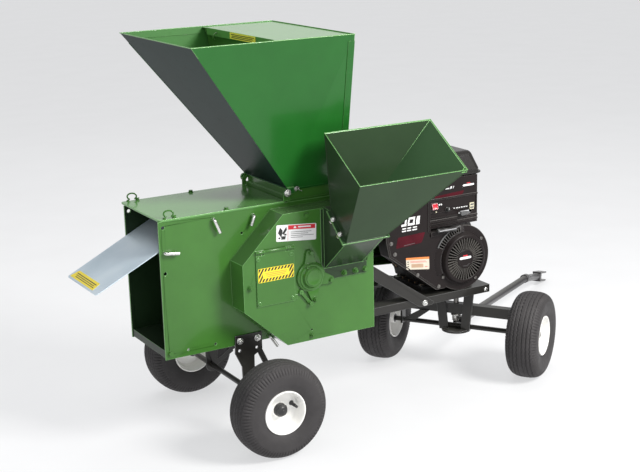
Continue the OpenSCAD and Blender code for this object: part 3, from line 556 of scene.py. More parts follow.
# inward faces of the side plates and the top cover's underside get the near-black copy: painted shade inside the mill
recolour_lit_shaded_faces(NODES["side_plate_far"], lambda c, n: n.y < -0.9, M_DARK)
recolour_lit_shaded_faces(NODES["side_plate_near"], lambda c, n: n.y > 0.9, M_DARK)
recolour_lit_shaded_faces(NODES["top_cover"], lambda c, n: n.z < -0.9, M_DARK)
# hopper's down-facing left wall gets the near-black copy: painted shade
recolour_lit_shaded_faces(NODES["hopper"], lambda c, n: n.x < -0.5 and n.z < -0.3 and c.x < 480, M_HOPL_SHADE)
# hopper's inner walls get the lighter inside copy: painted light
recolour_lit_shaded_faces(NODES["hopper"], lambda c, n: c.z > 900 and ((n.x > 0.5 and n.z > 0.3) or (abs(n.y) > 0.5 and n.z > 0.1) or (n.x < -0.9 and c.x < 699)), M_HOPI_LIT)
# chute's inner right wall gets the brighter copy: painted light
recolour_lit_shaded_faces(NODES["chipper_chute"], lambda c, n: n.x < -0.2 and n.z > 0.2 and c.x > 690, M_CHIN)
# chute's inner far and left walls get the darker copy: painted shade
recolour_lit_shaded_faces(NODES["chipper_chute"], lambda c, n: (n.y < -0.3 and n.z > 0.3) or (n.x > 0.5 and c.x < 590), M_CHUTE_SHADE)

# ------------------------------------------------------------------ wheels
TH = radians(34.5)
AX = Vector((-sin(TH), cos(TH), 0))
KING = Vector((1285, 143.5, 0))


def sstep(a, b, x):
    t = max(0.0, min(1.0, (x - a) / (b - a)))
    return t * t * (3 - 2 * t)


def tri(x):
    x = x - math.floor(x)
    return 4 * abs(x - 0.5) - 1


def tyre_profile():
    side = []
    for i in range(13):                      # bead to widest point
        r = 76.4 + (120 - 76.4) * i / 12
        y = 61.6 - 12.5 * ((120 - r) / 43.6) ** 2.0
        if i == 0:
            y = 49.2
        ring = 0.9 * math.exp(-((r - 84) / 1.6) ** 2) + 0.6 * math.exp(-((r - 101) / 1.3) ** 2)
        side.append((y + ring * 0.6, r))
    top = []
    n = 46
    e = 2 / 2.75
    for i in range(1, n + 1):                # widest point to crown
        f = (pi / 2) * (i / n) ** 0.86
        top.append((61.6 * abs(cos(f)) ** e if i < n else 0.0, 120 + 44.8 * sin(f) ** e))
    # even out the spacing across the tread
    pts = [side[-1]] + top
    d = [0.0]
    for a, b2 in zip(pts, pts[1:]):
        d.append(d[-1] + math.hypot(a[0] - b2[0], a[1] - b2[1]))
    out = []
    m = 46
    for k in range(1, m + 1):
        s = d[-1] * k / m
        j = max(i for i in range(len(d)) if d[i] <= s + 1e-9)
        j = min(j, len(pts) - 2)
        t = (s - d[j]) / (d[j + 1] - d[j])
        out.append((pts[j][0] + (pts[j + 1][0] - pts[j][0]) * t, pts[j][1] + (pts[j + 1][1] - pts[j][1]) * t))
    half = side + out
    return half + [(-y, r) for y, r in half[:-1][::-1]]


PROFILE = tyre_profile()


def tread(y, r, a):
    """depth cut into the tyre at width y and angle a"""
    ay = abs(y)
    n = 56
    ph = a / (2 * pi) * n
    z = tri(ph + (0.25 if y > 0 else 0.0))
    d = 0.0
    if r > 150:
        for y0, w in ((9.5, 1.7), (24.5, 1.9), (38.5, 1.9)):
            g = abs(ay - (y0 + 1.9 * z))
            d = max(d, 3.6 * (1 - sstep(w * 0.55, w * 1.35, g)))
        # small cross cuts in the ribs
        for c, ofs in ((0.0, 0.0), (17.0, 0.5), (31.5, 0.0)):
            if abs(ay - c) < 6.5:
                f = abs(tri(ph + ofs + ay * 0.03))
                d = max(d, 1.5 * (1 - sstep(0.10, 0.30, 1 - f)) * sstep(6.5, 4.5, abs(ay - c)) if f > 0 else 0)
    if 44 < ay and r > 128:
        f = tri(ph * 1.5)
        k = sstep(0.05, 0.55, f)
        d = max(d, 3.0 * k * sstep(43, 47, ay) * sstep(128, 139, r))
    return d


def tyre(name, node, body, c, out, nth=336):
    c, out = Vector(c), Vector(out).normalized()
    u = Vector((0, 0, 1))
    w = out.cross(u)
    n = len(PROFILE)
    verts, faces = [], []
    for i in range(nth):
        a = 2 * pi * i / nth
        rad = u * cos(a) + w * sin(a)
        for y, r in PROFILE:
            k = tread(y, r, a) if r > 127 else 0.0
            ny = 0.75 if r < 150 else 0.0
            yy = y - math.copysign(k * ny, y)
            verts.append(P(*(c + out * yy + rad * (r - k * (1 - 0.35 * (ny > 0))))))
    for i in range(nth):
        j = (i + 1) % nth
        for k in range(n - 1):
            faces.append([i * n + k, j * n + k, j * n + k + 1, i * n + k + 1])
    # close round the back of the beads
    bk = len(verts)
    for i in range(nth):
        a = 2 * pi * i / nth
        rad = u * cos(a) + w * sin(a)
        for y, r in ((47.0, 75.9), (-47.0, 75.9)):
            verts.append(P(*(c + out * y + rad * r)))
    for i in range(nth):
        j = (i + 1) % nth
        faces.append([i * n, bk + 2 * i, bk + 2 * j, j * n])
        faces.append([bk + 2 * i, bk + 2 * i + 1, bk + 2 * j + 1, bk + 2 * j])
        faces.append([bk + 2 * i + 1, i * n + n - 1, j * n + n - 1, bk + 2 * j + 1])
    o = mesh_obj(name, verts, faces, M_TYRE, body, "tyre_rubber", smooth=50)
    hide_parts(node)
    return o


def rim(tag, node, body, c, out, valve):
    c, out = Vector(c), Vector(out).normalized()
    z = Vector((0, 0, 1))
    b = Build()
    front = [(76.0, 46), (76.0, 50.5), (75.2, 52.6), (73.4, 53.4), (71.4, 52.6), (70.0, 50.0), (69.2, 45.5), (67.4, 38.0), (66.0, 27.0),
             (64.6, 16.0), (62.0, 9.6), (57.5, 6.6), (52.0, 5.6), (47.0, 6.6), (40.0, 7.0), (33.0, 6.6), (28.0, 5.6), (23.5, 6.4), (21.5, 8.0)]
    back_ = [(21.5, -2.0), (28.0, -1.0), (50.0, -1.6), (58.0, -4.0), (61.6, -10.0), (63.4, -22.0), (66.0, -38.0), (68.6, -45.5), (70.0, -50.0),
             (71.4, -52.6), (73.4, -53.4), (75.2, -52.6), (76.0, -50.5), (76.0, -46)]
    b.turn(front + back_, c, out, 72, closed=True, up=(0, 0, 1))
    # welded hub tube and its inner collar
    b.turn([(9.9, -45.5), (19.5, -45.5), (20.5, -43.5), (20.5, -6), (25.0, -4.4), (26.0, -2.0), (25.6, 7.4), (23.0, 10.0), (20.5, 20), (18, 21), (9.9, 21)], c, out, 40)
    o = b.make("rim_" + tag, M_RIM, body, "rim_paint", smooth=34)
    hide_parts(node)
    h = Build()
    h.turn([(0, 36), (8, 35.7), (13.4, 34.4), (17.2, 31.4), (18.8, 27), (19.0, 24.6), (21.6, 23.6), (22.4, 21.6), (22.4, 12.5), (23.4, 10.4), (18.0, 10.4)][::-1], c, out, 48)
    h.turn([(0, 35.4), (5.4, 35.4), (5.4, 37.0), (4.6, 37.6), (0, 37.6)], c, out, 24)
    for k in range(12):
        a = 2 * pi * k / 12
        d = z * cos(a) + out.cross(z) * sin(a)
        h.tube([c + out * 11.5 + d * 22.4, c + out * 21.5 + d * 22.2], 0.9, 6)
    h.turn([(0, -46.8), (14, -46.8), (17, -45.9), (17.5, -44), (9.6, -44)], c, out, 36)
    h.make("hub_cap_" + tag, M_HUB, body, "tyre_rubber", smooth=34)
    s = Build()
    up = out.cross(z)
    vd = -(up * cos(radians(valve))) + z * sin(radians(valve))
    q = c + vd * 47
    tilt = (out + vd * 0.10 - z * 0.16).normalized()
    s.turn([(0, 4), (9.0, 4), (9.0, 7.2), (7.2, 9.0), (6.0, 12.5), (5.6, 27), (3.4, 28), (3.4, 30), (4.6, 30.4), (4.6, 39), (3.6, 40.4), (0, 40.4)], q, tilt, 20)
    s.make("valve_" + tag, M_HUB, body, "tyre_rubber", smooth=34)
    return o


for tag, nodes, body, c, out, valve in (
        ("near_fixed", ("tyre_near_fixed", "rim_near_fixed"), "wheel_near_fixed", (301, 143.5 - 353, 165), (0, -1, 0), 15),
        ("far_fixed", ("tyre_far_fixed", "rim_far_fixed"), "wheel_far_fixed", (301, 143.5 + 353, 165), (0, 1, 0), 200),
        ("near_steer", ("tyre_near_steer", "rim_near_steer"), "wheel_near_steer", KING - AX * 301 + Vector((0, 0, 165)), -AX, 227),
        ("far_steer", ("tyre_far_steer", "rim_far_steer"), "wheel_far_steer", KING + AX * 301 + Vector((0, 0, 165)), AX, 100)):
    tyre("tyre_" + tag + "_treaded", nodes[0], body, c, out)
    rim(tag, nodes[1], body, c, out, valve)

# ------------------------------------------------------------------ fasteners
NY, PY, PZ = (0, -1, 0), (0, 1, 0), (0, 0, 1)
zb, gb = Build(), Build()
for x, z in ((272, 346), (339, 346)):
    zb.hexbolt((x, -6, z), NY, 9, 6.5, 12, spin=0.3, nut=True)
    zb.hexbolt((x, 293, z), PY, 9, 6.5, 12, spin=0.7)
zb.hexbolt((1034, -6, 342), NY, 9, 6, 11, spin=0.2, nut=True)
zb.hexbolt((1034, 293, 342), PY, 9, 6, 11, spin=0.5)
for x in (1089, 1321):
    for y in (100, 250):
        zb.hexbolt((x, y, 372), PZ, 8, 6, 11, spin=x * 0.3)
gb.hexbolt((18, 0, 353), NY, 9, 6, 11, spin=0.1)
gb.hexbolt((18, 287, 353), PY, 9, 6, 11, spin=0.4)
for x, z in ((505, 641), (516, 475), (582, 533)):
    gb.hexbolt((x, -97.4, z), NY, 8.5, 6.5, 10.5, spin=x * 0.1, nut=(x == 516))
gb.hexbolt((275, -89, 554), NY, 9, 6, 10.5, spin=0.2, nut=True)
gb.hexbolt((496, -89, 771), NY, 9, 5.5, 10.5, spin=0.5)
gb.hexbolt((505, -89, 347), NY, 7.5, 5.5, 9.5, spin=0.6, nut=True)
for i, x in enumerate((636, 682, 722)):
    gb.hexbolt((x, -93, 548), NY, 8.8, 8, 11, spin=0.4 * i, nut=(i < 2))
for x, y in ((250, 10), (262, 311)):
    gb.hexbolt((x, y, 807), PZ, 8, 6, 9.5, spin=0.3)
sl = math.atan2(95, 100)
SD, SN = Vector((0, cos(sl), sin(sl))), Vector((0, -sin(sl), cos(sl)))
for k, y in enumerate((-38, -98)):
    q = Vector((552, -138, 787)) + SD * y
    zb.hexbolt(q + SN * 4, SN, 8, 6, 9.5, spin=0.5 + k, nut=True)
    zb.hexbolt(q - SN * 4, -SN, 7.5, 6, 9.0, spin=0.2 + k)
    gb.hexbolt(q + Vector((171, 0, 0)) - SN * 4, -SN, 6.2, 5.5, 7.2, spin=0.9)
zb.hexbolt((1318, 0, 342), NY, 6, 4, 8, spin=0.2)
o = zb.make("plated_bolts", M_ZINC, "chassis", "zinc_steel", smooth=32)
o2 = gb.make("painted_bolts", M_GREEN, "chassis", "green_paint", smooth=32)
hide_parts("body_bolts")

# bent round rods
def l_rod(name, x, z, ang, leg, node_body, replace=None, r=6.0):
    a = radians(ang)
    d = Vector((cos(a), 0, sin(a)))
    c = Vector((x, 0, z))
    R = 9.0
    bend = [c + Vector((0, -14 + R, 0)) + Vector((0, -R * sin(t), 0)) + d * (R * (1 - cos(t))) for t in (i * pi / 2 / 7 for i in range(8))]
    pts = [c + Vector((0, 295, 0)), c + Vector((0, 294.2, 0))] + [c + Vector((0, y, 0)) for y in (290, 220, 140, 60, 5)] + bend
    pts += [bend[-1] + d * s for s in (8, (leg - R) * 0.6, leg - R - 0.8, leg - R)]
    rr = [r * 0.82] + [r] * (len(pts) - 2) + [r * 0.82]
    b = Build()
    b.tube(pts, rr, 20)
    o = b.make(name, M_ZINC, node_body, "zinc_steel", smooth=40)
    if replace:
        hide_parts(replace)
    return o


l_rod("screen_rod_upper", 341, 777, -112, 36, "chassis", "screen_rods")
l_rod("screen_rod_lower", 386, 342, -57, 46, "chassis")
l_rod("hinge_rod_bent", 194, 784, -68, 50, "hinge_rod", "deflector_hinge_rod")
l_rod("rest_rod_bent", 16, 698, -8, 47, "rest_rod", "deflector_rest_rod")

# ring pins on the top cover: bent wire ring, short stem and green clip
def ring_pins():
    g = Build()
    for x, y in ((62, 9), (62, 311)):
        g.turn([(4.6, 0), (7.2, 0), (7.2, 1.4), (5.4, 2.6), (5.2, 6.5), (4.4, 7.4), (0, 7.4)], (x, y, 807), PZ, 24)
        # ring: open wire loop
        ca, sa = cos(radians(-18)), sin(radians(-18))
        cx, cy, cz = x - 19, y + 2, 822
        pts = []
        for i in range(33):
            t = radians(-60 + 305 * i / 32)
            px, pz = 15.5 * cos(t), 11 * sin(t)
            pts.append((cx + px * ca, cy + px * sa, cz + pz))
        rr = [1.6] + [2.6] * (len(pts) - 2) + [1.6]
        g.tube(pts, rr, 12)
        g.tube([(x - 10, y - 0.5, 812), (x - 5, y, 813.2), (x, y, 813.0), (x + 7, y + 3, 812.6)], [2.0, 2.4, 2.6, 2.2], 12)
        g.hexbolt((x - 33, y + 4, 807), PZ, 4.4, 3, 6)
    o = g.make("ring_pins", M_GREEN, "chassis", "green_paint", smooth=40)
    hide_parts("cover_ring_pins")


ring_pins()

# flange bearings: cast housing, lugs, inner ring, set screw, grease nipple
def bearing(name, y, s, replace=None):
    b = Build()
    c, d = (505, y, 557), (0, s, 0)
    b.turn([(24, 0), (50, 0), (52.5, 1.2), (53, 3), (53, 6), (51, 8.4), (46.5, 9.6), (45.5, 11.5), (44.5, 13.4), (42, 14.2),
            (38.5, 13.8), (36.6, 12.8), (35.4, 13.6), (33.6, 20.0), (32.0, 22.4), (29, 23.4), (24, 23.4)], c, d, 72)
    for a in (93, 278, 343):
        v = Vector((cos(radians(a)), 0, sin(radians(a))))
        q = Vector(c) + v * 44
        e = Vector(c) + v * 80
        w = Vector((-v.z, 0, v.x))
        ring = []
        for t in range(13):
            an = -pi / 2 + pi * t / 12
            ring.append(e + (v * cos(an) + w * sin(an)) * 14)
        ring += [q + w * 24, q - w * 24]
        lo = [tuple(p) for p in ring]
        hi = [tuple(p + Vector(d) * 7) for p in ring]
        hi2 = [tuple((p - e) * 0.90 + e + Vector(d) * 8.6) for p in ring]
        b.loft([lo, hi, hi2], True, True)
    # inner ring with a set screw collar
    b.turn([(20.1, 0), (27.5, 0), (27.5, 24.6), (26.5, 25.8), (22, 25.8), (20.1, 24.9)], c, d, 48)
    v = Vector((cos(radians(118)), 0, sin(radians(118))))
    q = Vector(c) + v * 38 + Vector(d) * 13
    ax = (v + Vector(d) * 0.8).normalized()
    b.turn([(0, 0), (4.4, 0), (4.4, 4), (2.6, 5), (2.6, 8), (3.6, 9), (3.6, 11), (2.0, 13), (0, 13)], q, ax, 14)
    q = Vector(c) + Vector((0, s * 20, -27))
    b.turn([(0, 0), (3.4, 0), (3.4, 3), (0, 3)], q, (0, 0, -1), 12)
    o = b.make(name, [M_GREEN, M_EDGE_HILITE], "chassis", "green_paint", smooth=36, bevel=0.0)
    if replace:
        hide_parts(replace)
    return o


bearing("flange_bearing_near", -89, -1, "flange_bearings")
bearing("flange_bearing_far", 287, 1)

# ------------------------------------------------------------------ welds, seams and hems
def bead(b, a, c, r=2.0, step=5.5, n=8):
    """ripple weld between two points"""
    a, c = Vector(a), Vector(c)
    L = (c - a).length
    k = max(4, int(L / step) * 4)
    pts = [a + (c - a) * (i / k) for i in range(k + 1)]
    rr = [r * (0.80 + 0.20 * abs(sin(pi * i / 4))) for i in range(k + 1)]
    rr[0] = rr[-1] = r * 0.4
    b.tube(pts, rr, n)


def lerp3(a, c, t):
    return tuple(a[i] + (c[i] - a[i]) * t for i in range(3))


HBo = [(476, -5, 846.3), (700, -5, 846.3), (700, 305, 846.3), (476, 305, 846.3)]
HTo = [(82, -139, 1364), (669, -139, 1364), (669, 426, 1364), (82, 426, 1364)]
w = Build()
for i in range(4):
    a, c = HBo[i], HTo[i]
    mid = [(a[0] + HBo[(i + 2) % 4][0]) / 2, (a[1] + HBo[(i + 2) % 4][1]) / 2]
    bead(w, lerp3(a, c, 0.004), lerp3(a, c, 0.93), 1.3, 7.0, 6)
# bead round the foot of the hopper
for i in range(4):
    a, c = list(HBo[i]), list(HBo[(i + 1) % 4])
    bead(w, (a[0], a[1], 847.3), (c[0], c[1], 847.3), 2.2)
w.make("hopper_welds", M_HOP, "hopper", "chute_paint", smooth=60)

# lap flange on the near wall beside the right-hand corner, and its mate on the far wall
s = Build()
def wall_strip(b, A0, A1, B0, B1, t0, t1, u0, u1, off, n):
    """patch on the wall A0 A1 (foot) B0 B1 (rim): t up the wall, u across from the first edge, lifted by off along n"""
    def q(u, t, h):
        lo = Vector(A0).lerp(Vector(A1), u)
        hi = Vector(B0).lerp(Vector(B1), u)
        return lo.lerp(hi, t) + Vector(n) * h
    k = 8
    lo, hi = [], []
    for i in range(k + 1):
        t = t0 + (t1 - t0) * i / k
        lo.append((q(u0(t), t, -0.4), q(u1(t), t, -0.4)))
        hi.append((q(u0(t), t, off), q(u1(t), t, off)))
    rings = [[tuple(a[0]), tuple(a[1]), tuple(h[1]), tuple(h[0])] for a, h in zip(lo, hi)]
    b.loft(rings, True, True)


def wlen(A0, A1, B0, B1, t):
    return ((Vector(A0).lerp(Vector(B0), t)) - (Vector(A1).lerp(Vector(B1), t))).length


nn = Vector((0, -518, -134)).normalized()
fn = Vector((0, 518, -121)).normalized()
for A0, A1, B0, B1, nrm in ((HBo[1], HBo[0], HTo[1], HTo[0], nn), (HBo[2], HBo[3], HTo[2], HTo[3], fn)):
    wall_strip(s, A0, A1, B0, B1, 0.01, 0.955, lambda t: 0.0, lambda t: 24.0 / wlen(A0, A1, B0, B1, t), 2.0, nrm)
    for i in range(9):
        t = 0.10 + i * 0.092
        u = 12.0 / wlen(A0, A1, B0, B1, t)
        c = (Vector(A0).lerp(Vector(A1), u)).lerp(Vector(B0).lerp(Vector(B1), u), t) + nrm * 1.9
        s.turn([(0, 0.8), (2.2, 0.55), (3.0, 0.0), (3.0, -0.6)][::-1], c, nrm, 12)
s.make("hopper_lap_seams", [M_HOP, M_EDGE_HILITE], "hopper", "chute_paint", bevel=0.0004, smooth=36)

# folded hem inside the rim, in the lighter dull inside copy of the hopper paint: painted light, with its reflection
# turned down
h = Build()
it = [(85.2, -135.8), (665.8, -135.8), (665.8, 422.8), (85.2, 422.8)]
for (x0, y0), (x1, y1), ins in (((85.2, 422.8), (385, 422.8), (0, -1)), ((85.2, -135.8), (85.2, 422.8), (1, 0)), ((85.2, -135.8), (385, -135.8), (0, 1))):
    z0, z1 = 1340.0, 1363.2
    k0 = (1364 - z0) / 517.7
    # walls lean out, so the foot of the hem sits further in
    dx, dy = ins
    lean = {(0, -1): 121 * k0, (1, 0): 394 * k0, (0, 1): 134 * k0}[ins]
    v = [(x0, y0, z1), (x1, y1, z1)] + [(x + (394 * k0 + 0.6 if x < 100 else 0), y + (134 * k0 + 0.4 if y < 0 else -121 * k0 - 0.4), z0) for x, y in ((x1, y1), (x0, y0))]
    t = 1.6
    v2 = [(p[0] + dx * t, p[1] + dy * t, p[2]) for p in v]
    h.loft([v, v2], True, True)
h.make("hopper_hem", [M_HOPI_LIT, M_EDGE_HILITE], "hopper", "chute_paint", bevel=0.0005)

# weld beads on the mill body, chipper housing and chute
w = Build()
cham = [(408, 787), (251, 635), (252, 473), (411, 328), (759, 328), (759, 787)]
for i in range(5):
    a, c = cham[i], cham[i + 1]
    if i == 3:
        bead(w, (a[0] + 3, -1.2, a[1] + 3), (c[0] - 3, -1.2, c[1] + 3), 1.8)
    else:
        bead(w, (a[0], -0.8, a[1]), (c[0], -0.8, c[1]), 2.2)
bead(w, (411, -0.8, 787.5), (757, -0.8, 787.5), 2.2)
bead(w, (482, -0.6, 808), (720, -0.6, 808), 2.0)
bead(w, (481, 298.6, 808), (720, 298.6, 808), 2.0)
w.make("body_welds", M_GREEN, "chassis", "green_paint", smooth=60)
w = Build()
cb = [tuple(Vector((x, -138, 787)) + SD * y + SN * 4) for x, y in ((560, -134), (713, -134), (713, -6), (560, -6))]
ct = [(560, -330, 904), (985, -330, 904), (985, -113, 1045), (560, -113, 1045)]
for i in range(4):
    bead(w, lerp3(cb[i], ct[i], 0.01), lerp3(cb[i], ct[i], 0.99), 1.5, 7.0, 6)
    bead(w, cb[i], cb[(i + 1) % 4], 2.2)
w.make("chute_welds", M_CHUTE, "chassis", "chute_paint", smooth=60)

# folded-back corner tab at the chute's far right corner, as on a bent sheet
# ------------------------------------------------------------------ labels
def quad_label(name, quad, n, body, layers, base, slot=None, t=0.35, r=4.0):
    """thin printed plate on a quad (four corners, machine mm: top left, top right, bottom right, bottom left).
    layers: (list of outlines in 0..1 x 0..1, material, lift)"""
    q = [Vector(p) for p in quad]
    n = Vector(n).normalized()

    def at(u, v, h):
        return tuple(q[3].lerp(q[2], u).lerp(q[0].lerp(q[1], u), v) + n * h)
    mats = [base]
    b = Build()
    wd, ht = (q[1] - q[0]).length, (q[3] - q[0]).length
    ru, rv = r / wd, r / ht
    o = []
    for cx, cy, a0 in ((1 - ru, 1 - rv, 0), (ru, 1 - rv, 90), (ru, rv, 180), (1 - ru, rv, 270)):
        for i in range(5):
            a = radians(a0 + 22.5 * i)
            o.append((cx + ru * cos(a), cy + rv * sin(a)))
    b.loft([[at(u, v, 0.02) for u, v in o], [at(u, v, t) for u, v in o]], True, True, 0)
    for outlines, mat_, lift in layers:
        if mat_ not in mats:
            mats.append(mat_)
        mi = mats.index(mat_)
        for ol in outlines:
            b.loft([[at(u, v, t - 0.1) for u, v in ol], [at(u, v, t + lift) for u, v in ol]], True, True, mi)
    return b.make(name, mats, body, slot, smooth=20)


def clip_poly(poly, x0, x1, y0, y1):
    def clip(pts, inside, cut):
        out = []
        for i in range(len(pts)):
            a, c = pts[i - 1], pts[i]
            ia, ic = inside(a), inside(c)
            if ic:
                if not ia:
                    out.append(cut(a, c))
                out.append(c)
            elif ia:
                out.append(cut(a, c))
        return out
    def fx(v):
        return lambda a, c: (v, a[1] + (c[1] - a[1]) * (v - a[0]) / (c[0] - a[0]))
    def fy(v):
        return lambda a, c: (a[0] + (c[0] - a[0]) * (v - a[1]) / (c[1] - a[1]), v)
    for ins, cut in ((lambda p: p[0] >= x0, fx(x0)), (lambda p: p[0] <= x1, fx(x1)), (lambda p: p[1] >= y0, fy(y0)), (lambda p: p[1] <= y1, fy(y1))):
        if poly:
            poly = clip(poly, ins, cut)
    return poly


def stripes(bands, n, slant, duty=0.5):
    """diagonal bars clipped to the bands (x0, x1, y0, y1)"""
    out = []
    for x0, x1, y0, y1 in bands:
        for k in range(-2, n + 2):
            a = k / n
            p = [(a, 0.0), (a + duty / n, 0.0), (a + duty / n + slant, 1.0), (a + slant, 1.0)]
            c = clip_poly(p, x0, x1, y0, y1)
            if c and len(c) > 2:
                out.append(c)
    return out


def bar(x0, y0, x1, y1, sk=0.0):
    return [(x0, y0), (x1, y0), (x1 + sk, y1), (x0 + sk, y1)]


# striped hazard plate on the access door: black bars round a plain yellow field
sb = stripes([(0.015, 0.985, 0.03, 0.25), (0.015, 0.985, 0.76, 0.97), (0.015, 0.13, 0.25, 0.76), (0.87, 0.985, 0.25, 0.76)], 11, 0.22, 0.56)
fine = [bar(0.20, 0.60, 0.80, 0.64), bar(0.22, 0.48, 0.78, 0.52), bar(0.26, 0.36, 0.74, 0.40)]
quad_label("door_hazard_plate", [(305, -93.3, 616), (441, -93.3, 614), (440, -93.3, 568), (305, -93.3, 567)], NY, "access_door",
           [(sb, M_INK, 0.08), (fine, M_ORANGE, 0.05)], M_YELLOW)
# white plate with a red band and a plain dark symbol
sym = [[(0.04, 0.52), (0.09, 0.86), (0.155, 0.66), (0.13, 0.22)], [(0.14, 0.50), (0.245, 0.88), (0.26, 0.70), (0.185, 0.40)], bar(0.12, 0.12, 0.22, 0.32, 0.02), bar(0.055, 0.16, 0.10, 0.26), bar(0.20, 0.36, 0.25, 0.46)]
lines = [bar(0.36, 0.53 - 0.11 * i, 0.36 + (0.52, 0.44, 0.58, 0.30)[i], 0.56 - 0.11 * i) for i in range(4)]
quad_label("housing_notice_plate", [(382, -89, 753), (534, -89, 739), (531, -89, 682), (379, -89, 697)], NY, "chassis",
           [([bar(0.29, 0.70, 0.97, 0.96)], M_REDINK, 0.06), (sym, M_INK, 0.06), (lines, M_GREY_AND_HILITE, 0.05), ([bar(0.285, 0.04, 0.292, 0.66)], M_REDINK, 0.05),
            ([[(0.42, 0.77), (0.46, 0.92), (0.50, 0.77)], bar(0.54, 0.80, 0.86, 0.88)], M_WHITE, 0.10)], M_WHITE)
# yellow strip near the deflector's end
dn = Vector((-sin(radians(25.95)), 0, cos(radians(25.95))))
dd = Vector((-cos(radians(25.95)), 0, -sin(radians(25.95))))
d0 = Vector((194, 0, 784)) + dn * 10
def dq(s_, y):
    return tuple(d0 + dd * s_ + Vector((0, y, 0)))
dl = [bar(0.05, 0.62, 0.94, 0.72), bar(0.08, 0.42, 0.90, 0.50), bar(0.05, 0.22, 0.86, 0.30)]
quad_label("deflector_notice_strip", [dq(414, 68), dq(414, 252), dq(448, 262), dq(448, 60)][::1], dn, "deflector",
           [(dl, M_INK, 0.05)], M_YELLOW)


# ------------------------------------------------------------------ engine
CX, CZ = 1205.0, 486.0
dress("blower_housing", [M_ENGP, M_ENGP_HILITE], 0.0022, segs=3)
dress("control_panel", [M_ENGP, M_ENGP_HILITE], 0.0012)
dress("fuel_tank", M_ENG, 0.0016, angle=40, segs=3)
dress("muffler", M_MUFF, 0.0025, segs=3)
dress("air_cleaner", [M_ENGP, M_ENGP_HILITE], 0.0045, segs=4)


def pol(r, a, y):
    return (CX + r * cos(radians(a)), y, CZ + r * sin(radians(a)))


def fin(b, r0, r1, a, y0, y1, th, mi=0, th1=None, y1b=None):
    """radial blade between two radii, y0 (back) to y1 (front)"""
    th1 = th1 or th
    y1b = y1 if y1b is None else y1b
    ca, sa = cos(radians(a)), sin(radians(a))
    v = []
    for r, t, yf_ in ((r0, th, y1), (r1, th1, y1b)):
        for yy in (y0, yf_):
            for s_ in (-1, 1):
                v.append((CX + r * ca - s_ * t / 2 * sa, yy, CZ + r * sa + s_ * t / 2 * ca))
    b.add(v, [[0, 1, 3, 2], [4, 6, 7, 5], [0, 4, 5, 1], [2, 3, 7, 6], [0, 2, 6, 4], [1, 5, 7, 3]], mi)


rc = Build()
ND = (0, -1, 0)
C0 = (CX, 0, CZ)
# flange, sloped wall and rolled front edge, one turned shell
rc.turn([(92, 0.2), (101, 0.2), (101.6, 1.2), (101.2, 3.2), (100.4, 4.4), (99, 4.8), (96.6, 6.0), (95.4, 9.0), (91.0, 20.0),
         (89.4, 22.6), (86.6, 24.0), (80.5, 24.2), (79.2, 23.2), (79.0, 17.0), (81.5, 15.5), (85.0, 15.0), (88.6, 7.5), (90.5, 1.6)],
        C0, ND, 144, closed=True)
# near-black back plate behind the fins: painted shade in the gaps between them
rc.turn([(0, 9.0), (83, 9.0), (83, 11.0), (0, 11.0)], C0, ND, 96, mi=2)
# fins in a lighter grey than the moulding: painted highlight on the blades
for i in range(40):
    a = i * 9.0 + 3
    fin(rc, 33, 80.4, a, -9.0, -22.8, 1.6, 3, 2.4, -23.0)
# middle boss with a stepped, slightly dished face
rc.turn([(24, 9), (36.0, 9), (36.0, 21.5), (35.0, 23.6), (33.0, 24.6), (30.2, 24.2), (28.8, 22.8), (22, 22.2), (12, 21.8), (0, 21.7)],
        C0, ND, 96, mi=0)
# intermediate hoop across the fins, set back
rc.turn([(57.5, 15), (59.2, 15), (59.2, 20.4), (58.6, 21.0), (57.9, 20.8)], C0, ND, 120, closed=True)
# mounting screws round the flange
for a in (35, 215, 305):
    rc.turn([(0, 0), (6.4, 0), (6.4, 3.0), (5.2, 4.6), (2.6, 4.9), (2.4, 3.2), (0, 3.0)], pol(106.5, a, 0.1), ND, 20, mi=1)
o = rc.make("recoil_cover_finned", [M_ENGP, M_DARKSTEEL, M_PIT_SHADE, M_FIN_HILITE], "chassis", "engine_black", smooth=34)
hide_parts("recoil_cover")

# slotted guard on the blower's shoulder: cooling slots between ribs, plain moulding below; the near-black plate in the
# slots is painted shade, and the lighter ribs and the grey lip over the slots are painted highlights
gd = Build()
N = 11
a0, a1 = 96.0, 152.0


def sect(r0, r1, y0, y1, mi, b0, b1, r1t=None, y1t=None):
    rings = []
    for k in range(31):
        a = b0 + (b1 - b0) * k / 30
        rings.append([pol(r0, a, y0), pol(r1, a, y0), pol(r1 if r1t is None else r1t, a, y1 if y1t is None else y1t), pol(r0, a, y1)])
    gd.loft(rings, True, True, mi)


sect(102.5, 123.0, -0.2, -1.0, 2, a0, a1)
sect(101.2, 104.0, -0.2, -10.5, 0, 88, 205)
# grey lip round the slotted part: painted highlight on the rim
sect(121.0, 125.5, 1.0, -4.5, 1, a0 - 2, a1 + 2)
sect(103.5, 124.5, -0.2, -9.5, 0, a1, 205, 121.0, -3.0)
sect(103.5, 124.5, -0.2, -9.5, 0, 88, a0, 121.0, -3.0)
for k in range(N + 1):
    a = a0 + (a1 - a0) * k / N
    fin(gd, 103, 123.0, a, -0.2, -9.6, 1.8, 3, 2.6, -4.4)
gd.make("blower_shoulder_guard", [M_ENGP, M_GREY_AND_HILITE, M_PIT_SHADE, M_FIN_HILITE], "chassis", "engine_black", smooth=34, bevel=0.0004)

